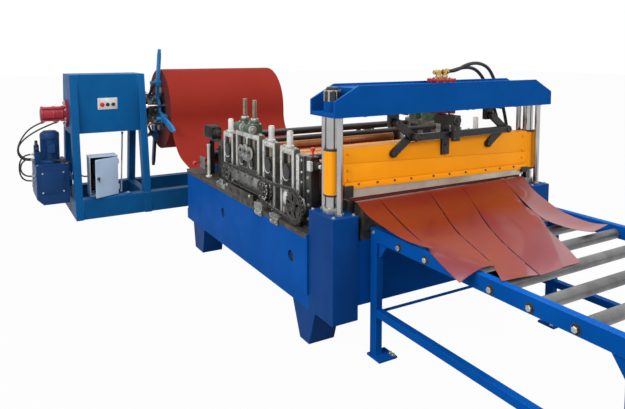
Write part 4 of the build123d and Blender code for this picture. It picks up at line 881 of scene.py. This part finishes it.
bm = bmesh.new()
for side in (-1, 1):
    for x, top in zip(pinch_places, stand_tops):
        turned(bm, at(x, side * stand_y, top), UP, ((0, 26), (12, 26), (14, 19.5), (95, 19.5), (100.5, 16),
            (100.5, 0)), sides=24)
make("screw_sleeves", bm, white_part)
bm = bmesh.new()
for side in (-1, 1):
    for x in levelling_places:
        for z, radius in ((1187, 28), (1100, 36)):
            turned(bm, at(x, side * stand_y, z), UP, ((0, radius), (3, radius + 2), (14, radius + 2), (17, radius)),
                sides=6)
        for end in (-1, 1):
            turned(bm, at(x + end * 50, side * 820, 1132), (end, 0, 0), ((0, 29), (6, 29), (8, 26), (8, 14), (20, 12),
                (22, 0)), sides=20)
for x in (-1235, -1169):
    turned(bm, at(x - 20, -820, 1132), AHEAD, ((0, 11), (40, 11)), sides=14)
make("worm_covers", bm, steel)
bolts("casting_bolts", [(x + dx, side * stand_y + dy, 1165, UP, 18) for side in (-1, 1) for x in levelling_places
    for dx in (-28, 28) for dy in (-28, 28)], steel)

# Stands' feet, with their bolts, and small ribs
bm = bmesh.new()
for side in (-1, 1):
    for start, end in ((-1660, -1440), (-1420, -985), (-965, -753), (-710, -500), (-490, -393)):
        block(bm, (start, end), (side * stand_face, side * 832), (deck_z, 655), 3)
        block(bm, (start, end), (side * 760.5, side * 730), (deck_z, 660), 3)
make("stand_feet", bm, dark_steel)
bolts("stand_foot_bolts", [(x, side * 816, 655, UP, 24) for side in (-1, 1) for x in (-1640, -1460, -1390, -1200,
    -1010, -945, -773, -690, -520, -440)], steel)
bolts("stand_top_bolts", [(x + dx, side * stand_y, top, UP, 22) for side in (-1, 1) for x, top in zip(pinch_places,
    stand_tops) for dx in (-70, 70)] + [(x, side * stand_y, 1100, UP, 22) for side in (-1, 1) for x in (-1385, -1360,
    -1040, -1020)] + [(x + 72 * dx, side * 800, z, (0, side, 0), 20) for side in (-1, 1) for x in pinch_places
    for dx in (-1, 1) for z in (860, 1000)], steel)

# Entry side: gearbox details, rod, lever with its knob; drive end: black plate and fitting
bm = bmesh.new()
for x in (-2050, -2020, -1990, -1960, -1930):
    block(bm, (x - 6, x + 6), (-806, -718), (972, 1060), 2)
turned(bm, at(-2080, -760, 1010), BACK, ((-4, 37), (10, 37), (14, 30), (45, 29.5), (50, 24), (50, 0)), sides=24)
turned(bm, at(-1900, -760, 1010), AHEAD, ((-4, 34), (12, 34), (16, 20), (70, 18), (70, 0)), sides=24)
block(bm, (-370, -312), (-800, -742), (deck_z, 1060), 3)
block(bm, (-388, -300), (-815, -730), (deck_z, 656), 3)
turned(bm, at(-315, -770, 1012), AHEAD, ((0, 30), (20, 30), (24, 22), (50, 21), (52, 18), (52, 0)), sides=24)
turned(bm, at(-2090, -762, 765), (-0.13, -0.066, -0.045), ((0, 9), (130, 7)), sides=14)
make("drive_end_fittings", bm, black_paint)
bm = bmesh.new()
turned(bm, at(-1981, -800, deck_z), UP, ((0, 26), (10, 26), (13, 12), (255, 11.5), (258, 16), (270, 16), (273, 0)),
    sides=20)
turned(bm, at(-264, -770, 1012), AHEAD, ((-2, 12), (16, 12), (18, 10), (18, 0)), sides=16)
block(bm, (-330, -290), (-818, -800), (985, 1040), 3)
make("white_rods", bm, white_part)
bm = bmesh.new()
turned(bm, at(-2218, -827, 721.5), (-0.13, -0.066, -0.045), [(18 - 18 * cos(pi * i / 10), 18 * sin(pi * i / 10))
    for i in range(11)], sides=20)
turned(bm, at(-341, -771, 1058), UP, ((0, 6), (32, 6), (34, 13), (50, 13), (54, 9), (54, 0)), sides=16)
make("red_knobs", bm, red_plastic)
bolts("drive_plate_bolts", [(-341, -800, z, NEAR, 22) for z in (700, 780, 860, 940)] + [(-442 + dx, -800, z, NEAR, 22)
    for dx in (-30, 30) for z in (900, 960, 1030)], steel)

# Table: nuts on the roller pins, bolts of the feet
roller_places = [247 + 202 * i for i in range(6)]
bm = bmesh.new()
for side in (-1, 1):
    for x in roller_places:
        turned(bm, at(x, side * 607.8, roller_z), (0, side, 0), ((0, 21), (3, 21), (3.5, 19)), sides=24)
make("pin_washers", bm, dark_steel)
bm = bmesh.new()
turned(bm, (0, 0, 0), UP, ((0, 13.5), (9, 13.5), (10.5, 11.5)), sides=6)
repeat("pin_nuts", bm, [(at(x, side * 611.2, roller_z), facing((0, side, 0), 0.4 * i), 1.0) for side in (-1, 1)
    for i, x in enumerate(roller_places)], steel)
bm = bmesh.new()
turned(bm, (0, 0, 0), UP, ((0, 10.2), (0, 17), (4, 17.5), (4.5, 10.2)), sides=20)
repeat("roller_collars", bm, [(at(x, side * 567.8, roller_z), facing((0, -side, 0)), 1.0) for side in (-1, 1)
    for x in roller_places], steel)
bolts("table_bolts", [(75, -522, 12, UP, 26), (100, -522, 12, UP, 26), (300, 522, 12, UP, 26)] +
    [(x, side * 608, 690, (0, side, 0), 20) for x in (28, 1470) for side in (-1, 1)] +
    [(1472.5, side * 608, 250, (0, side, 0), 20) for side in (-1, 1)], steel)
bm = bmesh.new()
for side, first in ((-1, 4), (1, 213)):
    for x, way in ((first + 55, 1), (1445, -1)):
        outline = [at(x, side * 584, 643), at(x + way * 70, side * 584, 643), at(x + way * 10, side * 584, 560),
            at(x, side * 584, 560)]
        prism(bm, outline, (0, side * 8, 0), 1.5)
make("leg_gussets", bm, blue)

# Decoiler: clamps on the arms, rods and bolts of the mandrel
bm = bmesh.new()
cuboid(bm, mm(305, 0, 0), (60, 62, 84), 5, profile=0)
turned(bm, mm(305, -30, 0), NEAR, ((0, 14), (30, 14), (34, 20), (50, 20), (52, 0)), sides=20)
arm_turns = [Euler((0, -radians(angle), 0)).to_quaternion() for angle in (75, 165, 255, 345)]
repeat("arm_clamps", bm, [(at(coil_x, -695, coil_z), turn, 1.0) for turn in arm_turns], bright_blue, "reel")
bm = bmesh.new()
turned(bm, mm(170, -180, 0), FAR, ((0, 12), (220, 12)), sides=18)
turned(bm, mm(170, -190, 0), FAR, ((0, 22), (18, 22), (20, 18)), sides=6)
repeat("hub_rods", bm, [(at(coil_x, -660, coil_z), turn @ Euler((0, radians(-32), 0)).to_quaternion(), 1.0)
    for turn in arm_turns], chrome, "reel")
bm = bmesh.new()
turned(bm, at(coil_x, -712, coil_z), NEAR, ((0, 56), (0, 120), (16, 118), (20, 85), (45, 80), (50, 70), (50, 56)),
    sides=40)
turned(bm, at(coil_x, -815, coil_z), NEAR, ((0, 56), (0, 90), (12, 88), (18, 70), (30, 68), (30, 56)), sides=40)
make("mandrel_collars", bm, dark_steel, "reel")
bolts("mandrel_bolts", [(coil_x + dx, -730, coil_z + dz, NEAR, 24) for dx, dz in circle(8, 103)], steel, "reel")
bm = bmesh.new()
turned(bm, at(coil_x, stand_far, coil_z), FAR, ((-2, 56.2), (-2, 125), (12, 125), (16, 120), (16, 70), (14, 56.2)),
    sides=40)
make("shaft_flange", bm, stand_blue)
bolts("shaft_flange_bolts", [(coil_x + dx, stand_far + 16, coil_z + dz, FAR, 28) for dx, dz in circle(8, 100)], steel)

# Decoiler stand: button plate, welded edges, bolts, rod
bm = bmesh.new()
block(bm, (-3696, -3688), (-1352, -1158), (1072, 1190), 4)
block(bm, (-3689, -3685.5), (-1340, -1170), (1084, 1178), 1)
make("button_plate", bm, white_part)
for name, material, places in (("stop_button", red_plastic, ((-1310, 19),)), ("start_buttons", black_paint,
        ((-1255, 15), (-1200, 15)))):
    bm = bmesh.new()
    for y, radius in places:
        turned(bm, at(-3686, y, 1122), AHEAD, ((0, radius + 4), (4, radius + 4), (5, radius), (14, radius),
            (18, radius - 4), (19, 0)), sides=24)
    make(name, bm, material)
bolts("plate_screws", [(-3685.5, y, z, AHEAD, 11) for y in (-1335, -1175) for z in (1089, 1173)], steel)
bm = bmesh.new()
turned(bm, at(-3672, -1121, 834), (-0.02, -0.02, -0.62), ((0, 11), (20, 11), (24, 7), (300, 7)), sides=14)
make("stay_rod", bm, black_paint)
bm = bmesh.new()
turned(bm, at(-3681.6, -1130.6, 536.5), (-0.02, -0.02, -0.62), ((0, 7.5), (322, 7.5), (324, 12), (330, 12)), sides=14)
make("stay_rod_foot", bm, white_part)
foot_places = [(x, y) for x in (coil_x - 345, coil_x + 355) for y in (-1100, -200, 500)]
bm = bmesh.new()
for x, y in foot_places:
    block(bm, (x - 45, x + 45), (y - 35, y + 35), (204.8, 213), 3)
for way in (-1, 1):
    for y in (stand_near + 70, stand_far - 70):
        block(bm, (coil_x + way * 225.5, coil_x + way * 220.5), (y - 12, y + 12), (840, 1425), 2)
make("stand_pads", bm, stand_blue)
bolts("stand_bolts", [(x, y, 213, UP, 34) for x, y in foot_places] + [(coil_x + dx, stand_near - 25, coil_z + dz, NEAR,
    30) for dx, dz in circle(8, 115, pi / 8)], steel)

# Rotary cylinder: end cap and rings
bm = bmesh.new()
for y, radius in ((-1655, 79), (-1735, 79), (-1842, 80)):
    turned(bm, at(coil_x, y, coil_z), NEAR, ((0, 74.5), (0, radius), (3, radius + 2), (15, radius + 2), (18, radius),
        (18, 74.5)), sides=40)
for dx, dz in circle(4, 84, pi / 4):
    turned(bm, at(coil_x + dx, -1640, coil_z + dz), NEAR, ((0, 7), (218, 7)), sides=12)
make("cylinder_rings", bm, red)
bm = bmesh.new()
turned(bm, at(coil_x, -1863.5, coil_z), NEAR, ((0, 58), (3, 56), (3, 30), (0, 28), (0, 0)), sides=32)
make("cylinder_cap", bm, dark_steel)

# Power pack: tank lid, gauge and cap, motor fins and cowl, valves
motor_x, motor_y = -3850, -1795
tank_left, tank_right, tank_near = -4150, -3700, -1940
bm = bmesh.new()
block(bm, (tank_left - 4, tank_right + 4), (tank_near - 4, -1636), (538, 546.5), 2)
block(bm, (tank_right - 2, tank_right + 5), (-1900, -1680), (260, 480), 3)
turned(bm, at(-4060, -1840, 546), UP, ((0, 40), (6, 40), (8, 30), (50, 29), (56, 24), (56, 0)), sides=28)
make("tank_lid", bm, dark_blue)
bolts("tank_bolts", [(x, y, 546.5, UP, 18) for x in (tank_left + 20, -4000, tank_right - 20) for y in (-1925, -1655)] +
    [(tank_right + 5, y, z, AHEAD, 18) for y in (-1885, -1695) for z in (275, 465)], steel)
bm = bmesh.new()
block(bm, (-4075, -4045), (-1952, -1939.5), (270, 420), 4)
make("level_gauge", bm, white_part)

fin = bmesh.new()
cuboid(fin, mm(0, 83, 0), (6, 13, 200), 1.2, segments=1)
turns = [i for i in range(36) if not 25 <= i <= 29]
repeat("motor_fins", fin, [(at(motor_x, motor_y, 690), Euler((0, 0, 2 * pi * i / 36)).to_quaternion(), 1.0)
    for i in turns], dark_blue)
bm = bmesh.new()
turned(bm, at(motor_x, motor_y, 795), UP, ((0, 80), (0, 90), (8, 91.5), (40, 91.5), (56, 85), (68, 66), (72, 30),
    (72, 0)), sides=40)
turned(bm, at(motor_x, motor_y, 564), UP, ((0, 101), (3, 103), (12, 100), (20, 88), (22, 80)), sides=40)
make("motor_cowl", bm, dark_blue)
bm = bmesh.new()
for i in range(4):
    radius = 18 + 14 * i
    turned(bm, at(motor_x, motor_y, 866.5), UP, ((0, radius), (1.8, radius), (1.8, radius + 4), (0, radius + 4)),
        sides=32)
make("cowl_grille", bm, black_paint)
bm = bmesh.new()
for x, top in ((-3952, 766), (-3918, 745)):
    turned(bm, at(x, -1912, 718), UP, ((0, 14), (12, 15), (top - 730, 15), (top - 718, 10), (top - 716, 0)), sides=20)
block(bm, (-3987, -3978), (-1930, -1888), (585, 645), 3)
turned(bm, at(-3978, -1910, 600), BACK, ((0, 17), (55, 17), (58, 14), (58, 0)), sides=20)
turned(bm, at(-3970, -1912, 690), BACK, ((0, 20), (50, 20), (54, 14), (75, 12), (75, 0)), sides=20)
turned(bm, at(-3900, -1912, 690), AHEAD, ((0, 16), (30, 16), (34, 10), (50, 9), (50, 0)), sides=20)
make("valves", bm, black_paint)
bm = bmesh.new()
for x, z in ((-3955, 568), (-3895, 591), (-3920, 632), (-3860, 600), (-3920, 364), (-3860, 421.4)):
    turned(bm, at(x, -1940, z), NEAR, ((0, 14.5), (9, 14.5), (10, 12.5), (16, 12.5), (16.5, 9.5), (30, 9.5)), sides=6)
for x, y in ((-3945, -1835), (-3895, -1712)):
    turned(bm, at(x, y, 946.5), UP, ((0, 16.5), (12, 16.5)), sides=6)
make("hose_nuts", bm, white_part)

# Cabinet: rims, lip, lock, hinge pads
bm = bmesh.new()
block(bm, (-3785, -3594), (-1466, -1184), (599, 604), 1.5)
for y in (-1459, -1191):
    block(bm, (-3604, -3596), (y - 3, y + 3), (207, 599), 1)
block(bm, (-3604, -3596), (-1460, -1190), (207, 213), 1)
make("cabinet_rims", bm, grey_paint)
bm = bmesh.new()
block(bm, (-3772, -3766), (-1440, -1210), (230, 580), 1)
for i in range(3):
    block(bm, (-3766, -3700), (-1420 + 70 * i, -1365 + 70 * i), (420, 520), 3)
    block(bm, (-3766, -3710), (-1420 + 70 * i, -1365 + 70 * i), (270, 350), 3)
make("switchgear", bm, shade_and_black)
swing = Matrix.Rotation(radians(25), 4, "Z")
hinge = at(-3588, -1186, 0)
bm = bmesh.new()
turned(bm, (0, 0, 0), AHEAD, ((0, 16), (3, 16), (4, 12), (14, 12), (16, 9), (16, 0)), sides=24)
bmesh.ops.create_cube(bm, size=1, matrix=Matrix.LocRotScale(mm(18, 0, -12), None, mm(6, 8, 40)))
lock_place = Matrix.Translation(hinge + mm(0, 0, 405)) @ swing @ Matrix.Translation(mm(6.8, -240, 0))
bmesh.ops.transform(bm, matrix=lock_place, verts=bm.verts)
make("door_lock", bm, dark_steel, "door")
bm = bmesh.new()
for y, z, width, height in ((-138, 592, 260, 6), (-138, 220.5, 260, 6), (-10.5, 406, 6, 370), (-265.5, 406, 6, 370)):
    cuboid(bm, mm(1, y, z), (8, width, height), 1, segments=1)
bmesh.ops.transform(bm, matrix=Matrix.Translation(hinge) @ swing, verts=bm.verts)
make("door_flanges", bm, grey_paint, "door")

# Floor, light and camera
def shows_background(tree):
    """1 for the rays that see the white background: those of the camera, of mirrors and of glass."""
    path = node(tree, "ShaderNodeLightPath").outputs
    mirrors = maths(tree, "ADD", path["Is Glossy Ray"], path["Is Transmission Ray"])
    return maths(tree, "ADD", path["Is Camera Ray"], mirrors, use_clamp=True)


floor_mesh = bpy.data.meshes.new("floor")
floor_mesh.from_pydata([(-40, -40, -0.001), (40, -40, -0.001), (40, 40, -0.001), (-40, 40, -0.001)], [],
    [(0, 1, 2, 3)])
floor = add("floor", floor_mesh)
pale = bpy.data.materials.new("pale_floor")
pale.use_nodes = True
tree = pale.node_tree
tree.nodes.remove(tree.nodes["Principled BSDF"])
matt = node(tree, "ShaderNodeBsdfDiffuse", {"Color": (0.3, 0.3, 0.3, 1)})
glow = node(tree, "ShaderNodeEmission", {"Color": (1, 1, 1, 1), "Strength": 1.0})
seen = node(tree, "ShaderNodeMixShader", {"Fac": maths(tree, "MULTIPLY", shows_background(tree), 0.97)})
tree.links.new(matt.outputs["BSDF"], seen.inputs[1])
tree.links.new(glow.outputs["Emission"], seen.inputs[2])
tree.links.new(seen.outputs["Shader"], tree.nodes["Material Output"].inputs["Surface"])
floor_mesh.materials.append(pale)

world = bpy.data.worlds.new("studio")
bpy.context.scene.world = world
world.use_nodes = True
tree = world.node_tree
tree.nodes.clear()
shown = node(tree, "ShaderNodeBackground", {"Color": (1, 1, 1, 1), "Strength": 1.0})
up = node(tree, "ShaderNodeSeparateXYZ", {0: node(tree, "ShaderNodeTexCoord").outputs["Generated"]}).outputs["Z"]
sky = node(tree, "ShaderNodeMapRange", {"Value": up, "From Min": 0.0, "From Max": 0.75, "To Min": 0.22,
    "To Max": 0.85}).outputs["Result"]
lighting = node(tree, "ShaderNodeBackground", {"Color": (0.93, 0.96, 1, 1), "Strength": sky})
both = node(tree, "ShaderNodeMixShader", {"Fac": shows_background(tree)})
tree.links.new(lighting.outputs["Background"], both.inputs[1])
tree.links.new(shown.outputs["Background"], both.inputs[2])
tree.links.new(both.outputs["Shader"], node(tree, "ShaderNodeOutputWorld").inputs["Surface"])


def area_light(name, place, target, size, power, mirrored=True):
    """A light of a size in metres that looks at a target."""
    light = bpy.data.lights.new(name, "AREA")
    light.shape = "RECTANGLE"
    light.size, light.size_y = size
    light.energy = power
    made = add(name, light)
    made.location = at(*place)
    made.rotation_euler = (at(*target) - made.location).to_track_quat("-Z", "Y").to_euler()
    made.visible_glossy = mirrored


area_light("key_light", (500, -5500, 4200), (-1800, -400, 600), (4.5, 2.5), 260)
area_light("top_light", (-1000, 500, 5500), (-1000, 0, 800), (6, 3), 170)
area_light("front_light", (5000, 800, 3400), (-200, 0, 1100), (3, 2), 150, mirrored=False)
area_light("back_light", (-1600, 4800, 2900), (400, 100, 800), (2.4, 1.6), 70, mirrored=False)

camera_data = bpy.data.cameras.new("camera")
camera_data.lens = 33.824
camera_data.sensor_width = 36
camera_data.shift_y = -0.167
camera = add("camera", camera_data)
camera.location = (4.0486, -1.8969, 1.6584)
yaw, pitch = radians(149.891), radians(4.703)
sight = Vector((cos(pitch) * cos(yaw), cos(pitch) * sin(yaw), -sin(pitch)))
camera.rotation_euler = sight.to_track_quat("-Z", "Y").to_euler()
bpy.context.scene.camera = camera
bpy.context.scene.view_settings.view_transform = "Standard"
